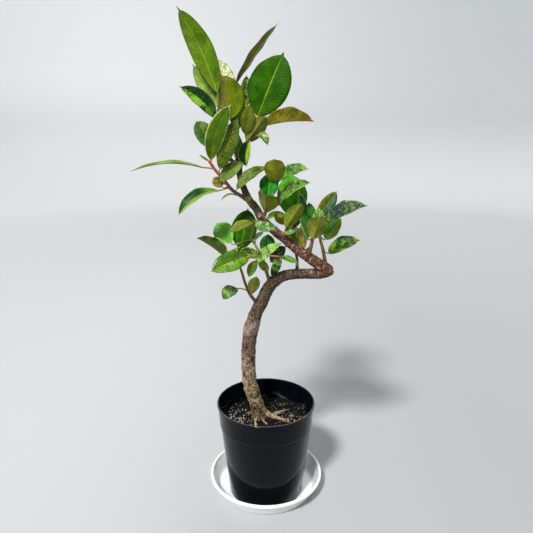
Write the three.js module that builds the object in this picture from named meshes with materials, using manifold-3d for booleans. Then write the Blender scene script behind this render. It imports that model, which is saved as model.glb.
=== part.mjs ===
// A variegated rubber-leaf ficus, grown as a bonsai on a bent trunk, in a black nursery pot that
// stands in a white saucer. Millimetres, +Z up. The origin is the middle of the saucer's
// underside, on the pot's axis, and the front of the plant looks to -Y.

import * as THREE from "three";
import { mergeVertices } from "three/addons/utils/BufferGeometryUtils.js";
import Module from "manifold-3d";

const wasm = await Module();
wasm.setup();

// Saucer: its middle lies behind the pot's axis, because the pot stands off-centre in it
const SAUCER_RIM_RADIUS = 148.5;
const SAUCER_FOOT_RADIUS = 127;
const SAUCER_HEIGHT = 39;
const SAUCER_FLOOR = 3;
const SAUCER_WALL = 3;
const SAUCER_LIP_WIDTH = 7;
const SAUCER_LIP_HEIGHT = 6;
const SAUCER_LIP_OVERHANG = 4;
const SAUCER_SET_BACK = 18;

// Pot: its foot ring stands on the saucer's floor
const POT_RIM_RADIUS = 125;
const POT_RIM_Z = 255;
const POT_LIP_HEIGHT = 6.5;
const POT_LIP_WIDTH = 3.5;
const POT_NECK_RADIUS = 122.5;
const POT_COLLAR_RADIUS = 119.5;
const POT_COLLAR_STEP = 2.5;
const POT_COLLAR_Z = 196;
const POT_FOOT_RADIUS = 95.5;
const POT_FOOT_RING_WIDTH = 7;
const POT_WALL = 2.2;
const POT_FLOOR_Z = 10;
const POT_FLOOR_UNDERSIDE_Z = 7.5;
const SLOT_COUNT = 2;
const SLOT_AZIMUTH = -22.5;
const SLOT_WIDTH = 6;
const SLOT_HEIGHT = 20;
const SLOT_DEPTH = 16;
const SLOT_FOOT_Z = 12;
const HOLE_COUNT = 6;
const HOLE_SIDES = 8;
const HOLE_DEPTH = 20;
const DRAIN_HOLE_RADIUS = 5;
const DRAIN_HOLE_RING = 58;

// Soil
const SOIL_Z = 204;
const SOIL_EDGE_DROP = 3;
const SOIL_LUMP = 2.6;
const SOIL_RINGS = 4;

// Small flat bevel on the pot's and the saucer's edges
const EDGE = 1.5;

// The air between neighbours that don't rest on each other
const CLEARANCE = 0.3;

// Facets round and steps along
const ROUND_SIDES = 36;
const TRUNK_SIDES = 12;
const STEM_SIDES = 6;
const LOWER_TRUNK_STEPS = 30;
const UPPER_TRUNK_STEPS = 20;
const STEPS_PER_POINT = 2;

// Leaves: shares of the petiole's and of the blade's length where their cross-sections lie
const PETIOLE_STATIONS = [0, 0.6];
const BLADE_STATIONS = [0, 0.07, 0.25, 0.5, 0.75, 0.92, 1];
const SMALL_BLADE_STATIONS = [0, 0.12, 0.42, 0.78, 1];
const SMALL_BLADE_LENGTH = 62;
const BLADE_THICKNESS = 1.0;
const BLADE_FULLNESS = 0.6;
const BLADE_FOOT_SHARE = 0.12;
const DRIP_TIP_START = 0.95;
const DRIP_TIP_SHARE = 0.05;
const PETIOLE_RADIUS = 1.6;
const PETIOLE_REACH = 0.35;
const SMALL_PETIOLE_SHARE = 0.125;

// Lower trunk, from the buried root crown up to the cut end at the elbow: x, y, z and radius
const LOWER_TRUNK = [
  [-12, 16, 140, 10],
  [-13, 15, 172, 17],
  [-15, 15, 196, 24],
  [-18, 15, 212, 21.5],
  [-24, 15, 234, 18.5],
  [-30, 14, 259, 17.8],
  [-38, 12, 286, 18.6],
  [-43, 9, 318, 18],
  [-44, 6, 366, 18],
  [-42, 2, 414, 17.5],
  [-34, -2, 462, 17.5],
  [-24, -5, 494, 16],
  [-11, -8, 523, 15.5],
  [2, -12, 552, 15],
  [15, -16, 573, 14.2],
  [34, -21, 589, 13],
  [55, -27, 598, 12.4],
  [79, -34, 602, 12],
  [102, -40, 604, 11.8],
  [127, -46, 607, 12.8],
  [141, -49, 612, 13.6],
];

// Upper trunk, from inside the elbow back over the pot and up to the fork under the crown
const UPPER_TRUNK = [
  [152, -52, 609, 7],
  [147, -51, 612, 12],
  [141, -50, 617, 13.6],
  [121, -48, 629, 13.4],
  [89, -40, 650, 12],
  [62, -33, 669, 11.2],
  [43, -27, 684, 10.6],
  [23, -21, 699, 10.2],
  [-9, -12, 727, 9.6],
  [-22, -6, 750, 9.4],
  [-38, 0, 769, 8.8],
  [-46, 2, 785, 8.2],
  [-52, 4, 800, 7.8],
  [-59, 6, 820, 7.2],
  [-62, 8, 842, 7.6],
  [-62, 9, 856, 9.6],
  [-61, 9, 868, 7],
];

// Roots: the forked one and the small pale ones lie on the soil, the others go down into it
const ROOTS = [
  [
    [-16, 16, 206, 9], [-4, 13, 212, 8], [8, 6, 211, 7], [20, -2, 209, 5.6],
    [38, -9, 207, 4.6], [60, -18, 202, 3.4],
  ],
  [[16, 2, 209, 5], [26, 10, 211, 5.4], [38, 19, 210, 4.6], [54, 38, 205, 3.2]],
  [[-20, 6, 206, 7], [-25, -8, 207, 5], [-27, -22, 205, 3.6], [-26, -34, 199, 2.4]],
  [[-12, 4, 206, 6], [-7, -15, 206, 4], [1, -26, 205, 3], [10, -41, 200, 2]],
  [[-16, 18, 204, 9], [-34, 22, 205, 7], [-50, 28, 200, 4.5], [-64, 32, 190, 3]],
  [[-12, 16, 180, 9], [-34, 4, 150, 6], [-52, -10, 116, 3]],
  [[-12, 16, 176, 9], [14, 30, 146, 6], [34, 44, 108, 3]],
];

// Leafy stems. A stem is the points that it passes and its radius at the foot and at the top.
// A leaf is: its name, how far up the stem it grows, the foot and the tip of its blade, the
// blade's width, the way its upper face looks, how far it arches along and bows sideways as a
// share of its length, and how steeply its halves fold up from the midrib in degrees.
const LEAFY_STEMS = {
  crown_left: {
    stem: [[-62, 9, 846], [-90, -4, 873], [-100, -12, 905], [-103, -18, 948], [-104, -20, 994]],
    radii: [4.6, 2.6],
    leaves: [
      ["tall", 0.98, [-105, -24, 1007], [-180, -60, 1169], 54, [0.2, 1, 0.1], 0.03, -0.03, 14],
      ["tall_shade", 0.85, [-96, -12, 976], [-163, 22, 1068], 44, [-0.2, 1, 0.2], 0.04, 0, 15],
      ["red_rib", 0.4, [-82, -30, 950], [-96, -40, 1042], 74, [0.42, 0.9, 0], 0.05, -0.05, 27],
      ["yellow_fold", 0.55, [-70, -16, 936], [-56, -14, 1001], 36, [-0.1, 1, 0.1], 0.05, 0, 14],
      ["left_marbled", 0.75, [-109, -26, 952], [-182, -55, 1016], 40, [-0.1, -0.8, 0.6], 0.08, 0.05, 20],
      ["left_low", 0.36, [-117, 0, 885], [-160, 30, 947], 46, [0.1, -0.95, 0.3], 0.06, 0, 18],
    ],
  },
  crown_middle: {
    stem: [[-62, 10, 850], [-72, 20, 887], [-73, 26, 938], [-66, 32, 982], [-61, 36, 1014]],
    radii: [4.6, 2.6],
    leaves: [
      ["pale_back", 0.9, [-75, 40, 1006], [-116, 60, 1085], 42, [0.1, -0.9, 0.4], 0.05, 0, 10],
      ["blade", 0.98, [-68, 38, 1028], [27, 30, 1153], 44, [-0.85, 0.3, 0.5], 0.03, 0, 8],
      ["speckled", 0.6, [-47, 30, 975], [-44, 45, 1047], 28, [0.2, -0.95, 0.2], 0.05, 0, 12],
      ["dark_heart", 0.45, [-59, 14, 933], [-51, -2, 985], 24, [0.3, -0.9, 0.2], 0.05, 0, 15],
      ["behind", 0.8, [-69, 55, 994], [-81, 150, 1017], 56, [0, -0.3, 1], 0.08, 0, 18],
    ],
  },
  crown_right: {
    stem: [[-59, 8, 847], [-50, 2, 872], [-42, -4, 901], [-33, -6, 931], [-26, -4, 951]],
    radii: [4.6, 2.8],
    leaves: [
      ["round", 0.98, [-18, 4, 957], [39, 12, 1091], 94, [-0.05, -0.97, 0.25], 0.04, 0, 10],
      ["side", 0.9, [-4, 0, 936], [106, -26, 945], 66, [0, 0.3, 1], 0.05, 0, 55],
      ["olive", 0.5, [-42, -14, 901], [2, -34, 957], 42, [-0.2, 0.95, 0.2], 0.04, 0, 15],
      ["yellow", 0.6, [-46, -18, 919], [-34, -36, 982], 32, [0.2, -0.95, 0.1], 0.04, 0, 12],
      ["low_lens", 0.15, [-57, 0, 861], [-67, -8, 927], 26, [0.3, -0.95, 0], 0.05, -0.05, 15],
      ["hanging", 0.45, [-36, -14, 904], [-43, -22, 847], 32, [-0.45, -0.9, 0], 0.1, 0.08, 20],
      ["drooping", 0.66, [-29, -6, 910], [5, -30, 893], 30, [0.1, -0.4, 0.9], 0.35, 0, 15],
    ],
  },
  left_branch: {
    stem: [[-46, 2, 772], [-77, -14, 795], [-94, -24, 818], [-111, -32, 839], [-123, -36, 857]],
    radii: [4.6, 3],
    leaves: [
      ["long", 0.82, [-141, -42, 848], [-294, -60, 840], 44, [0, -0.08, 1], 0.085, 0, 12],
      ["bud", 1, [-123, -36, 859], [-147, -40, 875], 5, [0, -1, 0], 0, 0, 0],
      ["green", 0.85, [-120, -46, 864], [-74, -56, 980], 42, [0.2, -0.97, 0.1], 0.05, -0.08, 12],
      ["marbled", 0.7, [-101, -44, 844], [-60, -40, 954], 42, [-0.15, -0.97, 0.1], 0.05, 0, 12],
      ["low", 0.35, [-108, -30, 795], [-194, -70, 743], 42, [-0.3, -0.55, 0.8], 0.16, 0, 22],
      ["curl", 0.12, [-68, -14, 783], [-102, -22, 771], 10, [0, -0.3, 1], 0.25, 0, 0],
      ["small", 0.4, [-100, -12, 801], [-120, 0, 822], 26, [0.1, -0.9, 0.3], 0.05, 0, 15],
      ["grey", 0.45, [-100, -38, 817], [-48, -38, 858], 34, [-0.3, -0.9, 0.3], 0.05, -0.05, 15],
    ],
  },
  upper_right_branch: {
    stem: [[-7, -14, 716], [-2, -16, 742], [7, -16, 772], [16, -12, 799], [21, -8, 814]],
    radii: [4.4, 2.6],
    leaves: [
      ["arch", 0.9, [0, -30, 847], [-66, -62, 798], 34, [-0.2, -0.6, 0.8], 0.12, 0, 15],
      ["crown", 0.95, [21, -22, 810], [18, -92, 869], 48, [0, 0.7, 0.7], 0.05, 0, 15],
      ["glossy", 0.3, [5, -50, 779], [9, 0, 832], 44, [0, -0.9, 0.5], 0.05, 0, 12],
      ["lime", 0.95, [30, -6, 814], [97, -20, 843], 52, [-0.15, -0.5, 0.85], 0.06, 0, 30],
      ["speckled", 0.7, [30, -24, 762], [99, -60, 817], 54, [-0.15, -0.5, 0.85], 0.06, 0, 30],
      ["folded", 0.25, [-2, -34, 745], [-1, -92, 794], 64, [0.4, 0.75, 0.55], 0.05, 0, 35],
      ["bright", 0.2, [3, -26, 730], [25, -34, 750], 13, [0, -0.8, 0.6], 0.05, 0, 0],
    ],
  },
  middle_right_branch: {
    stem: [[39, -28, 684], [46, -30, 703], [55, -28, 728], [64, -24, 750]],
    radii: [3.6, 2.4],
    leaves: [
      ["olive", 0.25, [46, -42, 712], [80, -84, 774], 40, [0, 0.9, 0.4], 0.05, 0, 18],
      ["olive_left", 0.6, [44, -26, 718], [18, -16, 746], 28, [0, 0.95, 0.3], 0.05, 0, 15],
      ["shade", 0.35, [59, -10, 704], [79, 4, 758], 36, [0, 0.95, 0.3], 0.05, 0, 12],
      ["dark_big", 0.55, [66, 14, 728], [57, 44, 828], 72, [0, -0.85, 0.5], 0.05, 0, 10],
      ["behind", 0.7, [70, 30, 738], [78, 112, 748], 54, [0, -0.3, 1], 0.08, 0, 18],
      ["pale", 0.3, [43, -46, 699], [67, -62, 708], 14, [0, -0.8, 0.6], 0.1, 0, 0],
    ],
  },
  right_branch: {
    stem: [[97, -44, 642], [103, -46, 669], [107, -46, 697], [109, -42, 726]],
    radii: [4.6, 2.8],
    leaves: [
      ["low", 0.22, [82, -10, 653], [45, 0, 692], 40, [0.2, 0.95, 0.1], 0.05, 0, 10],
      ["upright", 0.32, [89, -24, 659], [88, -14, 725], 24, [-0.4, 0.9, 0], 0.05, 0, 15],
      ["broad", 0.45, [107, -62, 691], [120, -106, 750], 52, [0, 0.9, 0.45], 0.05, 0, 12],
      ["edge", 0.55, [97, -30, 684], [76, 0, 791], 36, [0.6, -0.8, 0.1], 0.05, -0.05, 20],
      ["cream", 0.5, [119, -34, 704], [120, -34, 759], 32, [0, -0.9, 0.4], 0.05, 0, 12],
      ["crown", 0.9, [117, -26, 735], [162, -14, 792], 36, [0.3, -0.85, 0.4], 0.05, 0, 25],
      ["mid", 0.8, [108, -26, 730], [96, -30, 769], 20, [0, -0.95, 0.3], 0.05, 0, 10],
      ["behind", 0.7, [117, -10, 713], [128, 70, 726], 48, [0, -0.3, 1], 0.08, 0, 18],
    ],
  },
  elbow_branch: {
    stem: [[138, -50, 625], [130, -50, 663], [123, -46, 692], [125, -42, 721]],
    radii: [4.6, 2.8],
    leaves: [
      ["marbled", 0.9, [131, -48, 714], [221, -80, 769], 66, [0, -0.47, 0.88], 0.05, 0, 35],
      ["low", 0.35, [142, -48, 655], [210, -70, 690], 44, [-0.1, -0.6, 0.8], 0.08, 0, 20],
      ["shade", 0.7, [137, -26, 683], [176, -10, 729], 44, [0, 0.9, 0.4], 0.05, 0, 12],
    ],
  },
  left_middle_branch: {
    stem: [[10, -14, 573], [0, -20, 607], [-9, -22, 637], [-21, -18, 660], [-33, -12, 678]],
    radii: [4.6, 2.8],
    leaves: [
      ["lime", 0.5, [-39, -52, 648], [-123, -90, 622], 54, [-0.1, -0.75, 0.65], 0.06, 0, 15],
      ["dark_speckled", 0.6, [-11, -34, 643], [-80, -46, 662], 28, [0, -0.8, 0.6], 0.06, 0, 12],
      ["reach", 0.45, [-20, -46, 633], [36, -78, 685], 30, [-0.3, -0.8, 0.5], 0.1, 0, 25],
      ["dark", 0.65, [3, -4, 637], [5, 30, 684], 38, [0, -0.85, 0.5], 0.05, 0, 12],
      ["hanging", 0.4, [-23, -36, 633], [-39, -58, 600], 24, [-0.3, -0.9, 0.2], 0.08, 0, 20],
      ["big", 0.66, [-60, 12, 651], [-43, 50, 743], 62, [0, -0.9, 0.45], 0.05, 0, 10],
      ["back_green", 0.95, [-83, 2, 668], [-119, 50, 707], 50, [-0.1, -0.8, 0.6], 0.05, 0, 12],
      ["inner", 0.3, [5, -28, 607], [-18, -38, 637], 20, [0, -0.9, 0.3], 0.05, 0, 12],
      ["marbled_right", 0.12, [14, -14, 591], [36, 0, 636], 22, [0, -0.9, 0.3], 0.05, 0, 15],
      ["olive_small", 0.98, [-32, -26, 721], [-81, -48, 702], 30, [-0.1, -0.6, 0.8], 0.1, 0, 20],
      ["small_right", 0.52, [34, -44, 645], [73, -50, 632], 16, [0, -0.7, 0.7], 0.1, 0, 10],
      ["behind", 0.8, [-26, 10, 673], [-35, 90, 667], 50, [0, -0.3, 1], 0.08, 0, 18],
    ],
  },
  left_low_branch: {
    stem: [[-22, -12, 522], [-38, -24, 549], [-49, -32, 579], [-58, -36, 612], [-69, -38, 641]],
    radii: [4.2, 2.6],
    leaves: [
      ["grey", 0.95, [-92, -42, 643], [-156, -66, 695], 58, [0.05, 0.42, 0.9], 0.04, 0, 35],
      ["twisted", 0.28, [-68, -34, 566], [-100, -54, 545], 38, [-0.4, -0.7, 0.6], 0.2, 0, 12],
      ["olive", 0.2, [-35, -30, 551], [-21, -50, 600], 28, [0, 0.95, 0.3], 0.05, 0, 12],
    ],
  },
  trunk_leaf: {
    stem: [[-4, -8, 710], [-16, -22, 722], [-25, -32, 727]],
    radii: [2, 1.6],
    leaves: [
      ["grey_green", 0.95, [-23, -34, 724], [26, -58, 719], 27, [-0.1, -0.85, 0.5], 0.04, 0.15, 20],
    ],
  },
  back_branch: {
    stem: [[73, -32, 611], [73, -14, 635], [65, 12, 656], [51, 30, 676]],
    radii: [3.8, 2.6],
    leaves: [
      ["dark", 0.8, [47, 32, 651], [10, 46, 609], 36, [0, -0.8, 0.6], 0.05, 0, 12],
      ["behind", 0.8, [58, 44, 666], [87, 118, 681], 50, [0, -0.3, 1], 0.08, 0, 18],
    ],
  },
};

function point([x, y, z]) {
  return new THREE.Vector3(x, y, z);
}

// A closed geometry as a solid that can be cut and joined
function solid(geometry) {
  geometry.deleteAttribute("normal");
  geometry.deleteAttribute("uv");
  const merged = mergeVertices(geometry, 1e-4);
  const corners = merged.index.array;
  const kept = [];
  for (let i = 0; i < corners.length; i += 3) {
    const [a, b, c] = corners.slice(i, i + 3);
    if (a !== b && b !== c && c !== a) kept.push(a, b, c);
  }
  return new wasm.Manifold(new wasm.Mesh({
    numProp: 3,
    vertProperties: new Float32Array(merged.attributes.position.array),
    triVerts: new Uint32Array(kept),
  }));
}

function joined(solids) {
  return solids.reduce((all, next) => all.add(next));
}

// A ring or cup turned about the Z axis from an outline of radius and height, bottom to outside
// to top to inside
function turned(outline, sides = ROUND_SIDES) {
  const geometry = new THREE.LatheGeometry(outline.map(([r, z]) => new THREE.Vector2(r, z)), sides);
  geometry.rotateX(Math.PI / 2);
  return solid(geometry);
}

// A tapering round bar: a cylinder bent along a curve, with a radius for each share of its length
function bar(curve, radiusAt, sides, steps) {
  const geometry = new THREE.CylinderGeometry(1, 1, 1, sides, steps);
  const frames = curve.computeFrenetFrames(steps, false);
  const corners = geometry.attributes.position;
  for (let i = 0; i < corners.count; i += 1) {
    const station = Math.round((corners.getY(i) + 0.5) * steps);
    const share = station / steps;
    const radius = radiusAt(share);
    const place = curve.getPointAt(share);
    place.addScaledVector(frames.normals[station], corners.getX(i) * radius);
    place.addScaledVector(frames.binormals[station], -corners.getZ(i) * radius);
    corners.setXYZ(i, place.x, place.y, place.z);
  }
  return solid(geometry);
}

// A limb through points of x, y, z and radius, made thicker all round where it has to leave room
function limb(stations, sides, steps, room = 0) {
  const curve = new THREE.CatmullRomCurve3(stations.map(point), false, "centripetal");
  const last = stations.length - 1;
  const radiusAt = (share) => {
    const along = curve.getUtoTmapping(share) * last;
    const before = Math.min(Math.floor(along), last - 1);
    return THREE.MathUtils.lerp(stations[before][3], stations[before + 1][3], along - before) + room;
  };
  return bar(curve, radiusAt, sides, steps);
}

// The trunk with its roots, as one grown piece
function trunk(room = 0) {
  const roots = ROOTS.map((root) => limb(root, STEM_SIDES, STEPS_PER_POINT * (root.length - 1), room));
  const lower = limb(LOWER_TRUNK, TRUNK_SIDES, LOWER_TRUNK_STEPS, room);
  const upper = limb(UPPER_TRUNK, TRUNK_SIDES, UPPER_TRUNK_STEPS, room);
  return joined([lower, upper, ...roots]);
}

// Half the blade's width as a share of its widest place: an ellipse that ends in a drip tip
function outlineShare(t) {
  const body = Math.sin(Math.PI * Math.min(t / DRIP_TIP_START, 1)) ** BLADE_FULLNESS;
  return Math.max(body, t < 0.5 ? BLADE_FOOT_SHARE : DRIP_TIP_SHARE);
}

// A direction with its part along another direction taken out
function squared(direction, away) {
  return direction.clone().addScaledVector(away, -direction.dot(away)).normalize();
}

// The six corners of a cross-section: left edge, midrib and right edge on the upper face, and
// back again on the under face
function section({ middle, heading, across, half, fold, edgeThickness, ribThickness }) {
  const normal = across.clone().cross(heading).normalize();
  const corners = [-1, 0, 1].map((way) => {
    const tilt = -way * fold;
    const out = normal.clone().multiplyScalar(Math.cos(tilt)).addScaledVector(across, Math.sin(tilt));
    const place = middle.clone();
    place.addScaledVector(across, way * half * Math.cos(fold));
    place.addScaledVector(normal, Math.abs(way) * half * Math.sin(fold));
    out.multiplyScalar((way === 0 ? ribThickness : edgeThickness) / 2);
    return [place.clone().add(out), place.clone().sub(out)];
  });
  const [left, rib, right] = corners;
  return [left[0], rib[0], right[0], right[1], rib[1], left[1]];
}

// A closed skin over cross-sections. Both faces are split into the same triangles.
function skin(sections) {
  const triangles = [[0, 4, 1], [0, 5, 4], [1, 3, 2], [1, 4, 3]].flat();
  for (let i = 0; i + 1 < sections.length; i += 1) {
    for (let k = 0; k < 6; k += 1) {
      const a = 6 * i + k;
      const b = 6 * i + (k + 1) % 6;
      const [c, d] = [b + 6, a + 6];
      if (k < 3) triangles.push(a, b, c, a, c, d);
      else triangles.push(a, b, d, b, c, d);
    }
  }
  const end = 6 * (sections.length - 1);
  triangles.push(...[[0, 1, 4], [0, 4, 5], [1, 2, 3], [1, 3, 4]].flat().map((corner) => end + corner));
  const geometry = new THREE.BufferGeometry().setFromPoints(sections.flat());
  geometry.setIndex(triangles);
  return solid(geometry);
}

// A leaf: the petiole's cross-sections from inside the stem, then the blade's to its drip tip
function leaf(stemCurve, [, at, footPoint, tipPoint, width, facePoint, arch, bow, foldDegrees]) {
  const foot = point(footPoint);
  const chord = point(tipPoint).sub(foot);
  const length = chord.length();
  const along = chord.clone().normalize();
  const up = squared(point(facePoint), along);
  const side = along.clone().cross(up);
  const headingAt = (t) => along.clone().addScaledVector(up, 4 * arch * (1 - 2 * t))
    .addScaledVector(side, 4 * bow * (1 - 2 * t)).normalize();

  const start = stemCurve.getPointAt(at);
  const reach = start.distanceTo(foot) * PETIOLE_REACH;
  const petiole = new THREE.CubicBezierCurve3(
    start,
    start.clone().addScaledVector(stemCurve.getTangentAt(at), reach),
    foot.clone().addScaledVector(headingAt(0), -reach),
    foot,
  );
  const petioleRadius = Math.min(PETIOLE_RADIUS, width * SMALL_PETIOLE_SHARE);
  const sections = [];
  let heading = headingAt(0);
  let across = squared(side, heading);
  for (const t of PETIOLE_STATIONS.toReversed()) {
    const tangent = petiole.getTangent(t);
    across = across.applyQuaternion(new THREE.Quaternion().setFromUnitVectors(heading, tangent));
    heading = tangent;
    sections.unshift(section({
      middle: petiole.getPoint(t),
      heading,
      across,
      half: petioleRadius,
      fold: 0,
      edgeThickness: petioleRadius,
      ribThickness: 2 * petioleRadius,
    }));
  }
  for (const t of length < SMALL_BLADE_LENGTH ? SMALL_BLADE_STATIONS : BLADE_STATIONS) {
    const swell = 4 * length * t * (1 - t);
    const middle = foot.clone().addScaledVector(chord, t);
    middle.addScaledVector(up, arch * swell).addScaledVector(side, bow * swell);
    sections.push(section({
      middle,
      heading: headingAt(t),
      across: squared(side, headingAt(t)),
      half: width / 2 * outlineShare(t),
      fold: THREE.MathUtils.degToRad(foldDegrees),
      edgeThickness: BLADE_THICKNESS,
      ribThickness: BLADE_THICKNESS,
    }));
  }
  return skin(sections);
}

// A stem with all its leaves, cut clear of the trunk that it grows from
function leafyStem({ stem, radii, leaves }, keepClear) {
  const curve = new THREE.CatmullRomCurve3(stem.map(point), false, "centripetal");
  const radiusAt = (share) => THREE.MathUtils.lerp(radii[0], radii[1], share);
  const shoot = bar(curve, radiusAt, STEM_SIDES, STEPS_PER_POINT * (stem.length - 1));
  const whole = joined([shoot, ...leaves.map((row) => leaf(curve, row))]);
  return whole.subtract(keepClear);
}

function saucer() {
  const neckRadius = SAUCER_RIM_RADIUS - SAUCER_LIP_OVERHANG;
  return turned([
    [0, 0],
    [SAUCER_FOOT_RADIUS, 0],
    [SAUCER_FOOT_RADIUS + SAUCER_WALL, SAUCER_WALL],
    [neckRadius, SAUCER_HEIGHT - SAUCER_LIP_HEIGHT - EDGE],
    [SAUCER_RIM_RADIUS, SAUCER_HEIGHT - SAUCER_LIP_HEIGHT],
    [SAUCER_RIM_RADIUS, SAUCER_HEIGHT - EDGE],
    [SAUCER_RIM_RADIUS - EDGE, SAUCER_HEIGHT],
    [SAUCER_RIM_RADIUS - SAUCER_LIP_WIDTH, SAUCER_HEIGHT],
    [neckRadius - SAUCER_WALL, SAUCER_HEIGHT - SAUCER_LIP_HEIGHT + EDGE],
    [SAUCER_FOOT_RADIUS + EDGE, SAUCER_FLOOR + SAUCER_WALL + EDGE],
    [SAUCER_FOOT_RADIUS - SAUCER_WALL, SAUCER_FLOOR],
    [0, SAUCER_FLOOR],
  ]).translate([0, SAUCER_SET_BACK, 0]);
}

// The pot's inner wall, from the floor to the lip: radius and height
const POT_INSIDE = [
  [POT_FOOT_RADIUS - POT_WALL, POT_FLOOR_Z],
  [POT_COLLAR_RADIUS - POT_COLLAR_STEP - POT_WALL, POT_COLLAR_Z],
  [POT_COLLAR_RADIUS - POT_WALL, POT_COLLAR_Z + POT_COLLAR_STEP],
  [POT_NECK_RADIUS - POT_WALL, POT_RIM_Z - POT_LIP_HEIGHT],
];

function pot() {
  const shell = turned([
    [0, POT_FLOOR_UNDERSIDE_Z],
    [POT_FOOT_RADIUS - POT_FOOT_RING_WIDTH - EDGE, POT_FLOOR_UNDERSIDE_Z],
    [POT_FOOT_RADIUS - POT_FOOT_RING_WIDTH, SAUCER_FLOOR],
    [POT_FOOT_RADIUS, SAUCER_FLOOR],
    [POT_COLLAR_RADIUS - POT_COLLAR_STEP, POT_COLLAR_Z],
    [POT_COLLAR_RADIUS, POT_COLLAR_Z + POT_COLLAR_STEP],
    [POT_NECK_RADIUS, POT_RIM_Z - POT_LIP_HEIGHT],
    [POT_RIM_RADIUS, POT_RIM_Z - POT_LIP_HEIGHT + EDGE],
    [POT_RIM_RADIUS, POT_RIM_Z - EDGE],
    [POT_RIM_RADIUS - EDGE, POT_RIM_Z],
    [POT_RIM_RADIUS - POT_LIP_WIDTH, POT_RIM_Z],
    ...POT_INSIDE.toReversed(),
    [0, POT_FLOOR_Z],
  ]);
  const cuts = [];
  for (let i = 0; i < SLOT_COUNT; i += 1) {
    const slot = new THREE.BoxGeometry(SLOT_DEPTH, SLOT_WIDTH, SLOT_HEIGHT);
    slot.translate(POT_FOOT_RADIUS, 0, SLOT_FOOT_Z + SLOT_HEIGHT / 2);
    slot.rotateZ(THREE.MathUtils.degToRad(SLOT_AZIMUTH + i * 360 / SLOT_COUNT));
    cuts.push(solid(slot));
  }
  for (let i = 0; i < HOLE_COUNT; i += 1) {
    const hole = new THREE.CylinderGeometry(
      DRAIN_HOLE_RADIUS,
      DRAIN_HOLE_RADIUS,
      HOLE_DEPTH,
      HOLE_SIDES,
    );
    hole.rotateX(Math.PI / 2);
    hole.translate(DRAIN_HOLE_RING, 0, POT_FLOOR_Z);
    hole.rotateZ(i * 2 * Math.PI / HOLE_COUNT);
    cuts.push(solid(hole));
  }
  return shell.subtract(joined(cuts));
}

// The height of the soil's top: nearly level, a little lower at the wall, with low lumps
function soilTop(radius, angle) {
  const lumps = Math.sin(radius / 7 + 3 * angle) + Math.sin(radius / 5 - 5 * angle + 1);
  return SOIL_Z - SOIL_EDGE_DROP * (radius / POT_COLLAR_RADIUS) ** 2 + SOIL_LUMP / 2 * lumps;
}

// The soil fills the pot to its top and leaves a plain hole for the trunk and its roots
function soil(keepClear) {
  const wall = POT_INSIDE.filter(([, z]) => z < SOIL_Z).map(([r, z]) => [r - CLEARANCE, z]);
  const topRadius = wall.at(-1)[0];
  const outline = [[0, POT_FLOOR_Z], ...wall];
  for (let ring = 0; ring <= SOIL_RINGS; ring += 1) {
    outline.push([topRadius * (1 - ring / SOIL_RINGS), SOIL_Z]);
  }
  const geometry = new THREE.LatheGeometry(outline.map(([r, z]) => new THREE.Vector2(r, z)), ROUND_SIDES);
  geometry.rotateX(Math.PI / 2);
  const corners = geometry.attributes.position;
  for (let i = 0; i < corners.count; i += 1) {
    if (corners.getZ(i) < SOIL_Z) continue;
    const radius = Math.hypot(corners.getX(i), corners.getY(i));
    const angle = radius < 1 ? 0 : Math.atan2(corners.getY(i), corners.getX(i));
    corners.setZ(i, soilTop(radius, angle));
  }
  return solid(geometry).subtract(keepClear);
}

function part(name, manifold, color, roughness) {
  const { vertProperties, triVerts } = manifold.getMesh();
  const geometry = new THREE.BufferGeometry();
  geometry.setAttribute("position", new THREE.BufferAttribute(vertProperties, 3));
  geometry.setIndex(new THREE.BufferAttribute(triVerts, 1));
  geometry.computeVertexNormals();
  const mesh = new THREE.Mesh(geometry, new THREE.MeshStandardMaterial({ color, roughness }));
  mesh.name = name;
  return mesh;
}

const plant = new THREE.Group();
const roomForTrunk = trunk(CLEARANCE);
plant.add(part("saucer", saucer(), "#e9eef0", 0.45));
plant.add(part("pot", pot(), "#15181b", 0.4));
plant.add(part("soil", soil(roomForTrunk), "#1d1a18", 0.95));
plant.add(part("trunk", trunk(), "#7b6549", 0.85));
for (const [name, shoot] of Object.entries(LEAFY_STEMS)) {
  plant.add(part(name, leafyStem(shoot, roomForTrunk), "#5f8a33", 0.4));
}

export default plant;
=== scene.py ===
"""A variegated rubber-leaf ficus, grown as a bonsai on a bent trunk, in a black nursery pot on a
white saucer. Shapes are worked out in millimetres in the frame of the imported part, +Z up, with the
origin under the middle of the pot on the saucer's underside, and become metres when a piece is made."""

import itertools
import math
import random
from dataclasses import dataclass
from types import SimpleNamespace

import bpy
import numpy as np
from mathutils import Matrix, Vector, kdtree, noise

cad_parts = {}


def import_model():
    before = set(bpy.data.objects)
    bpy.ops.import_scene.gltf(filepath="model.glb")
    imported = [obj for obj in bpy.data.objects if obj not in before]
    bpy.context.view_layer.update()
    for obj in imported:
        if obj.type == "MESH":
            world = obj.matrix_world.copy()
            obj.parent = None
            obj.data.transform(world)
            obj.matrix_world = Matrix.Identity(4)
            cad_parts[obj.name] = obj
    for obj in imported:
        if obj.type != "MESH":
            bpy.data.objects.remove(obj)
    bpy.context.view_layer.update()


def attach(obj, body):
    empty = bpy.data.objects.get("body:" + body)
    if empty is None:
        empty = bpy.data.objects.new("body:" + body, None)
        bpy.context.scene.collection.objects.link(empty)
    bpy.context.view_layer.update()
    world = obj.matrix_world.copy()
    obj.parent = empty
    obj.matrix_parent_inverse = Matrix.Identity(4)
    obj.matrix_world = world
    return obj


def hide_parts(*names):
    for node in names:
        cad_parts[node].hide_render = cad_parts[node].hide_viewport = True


MM = 0.001

# Camera: fitted to the ellipses of the pot's rim, its foot and the saucer
CAMERA_LENS = 35.62
CAMERA_SENSOR = 36
CAMERA_PLACE = (0.0014, -1.221, 0.934)
CAMERA_TILT = 14.84

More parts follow.
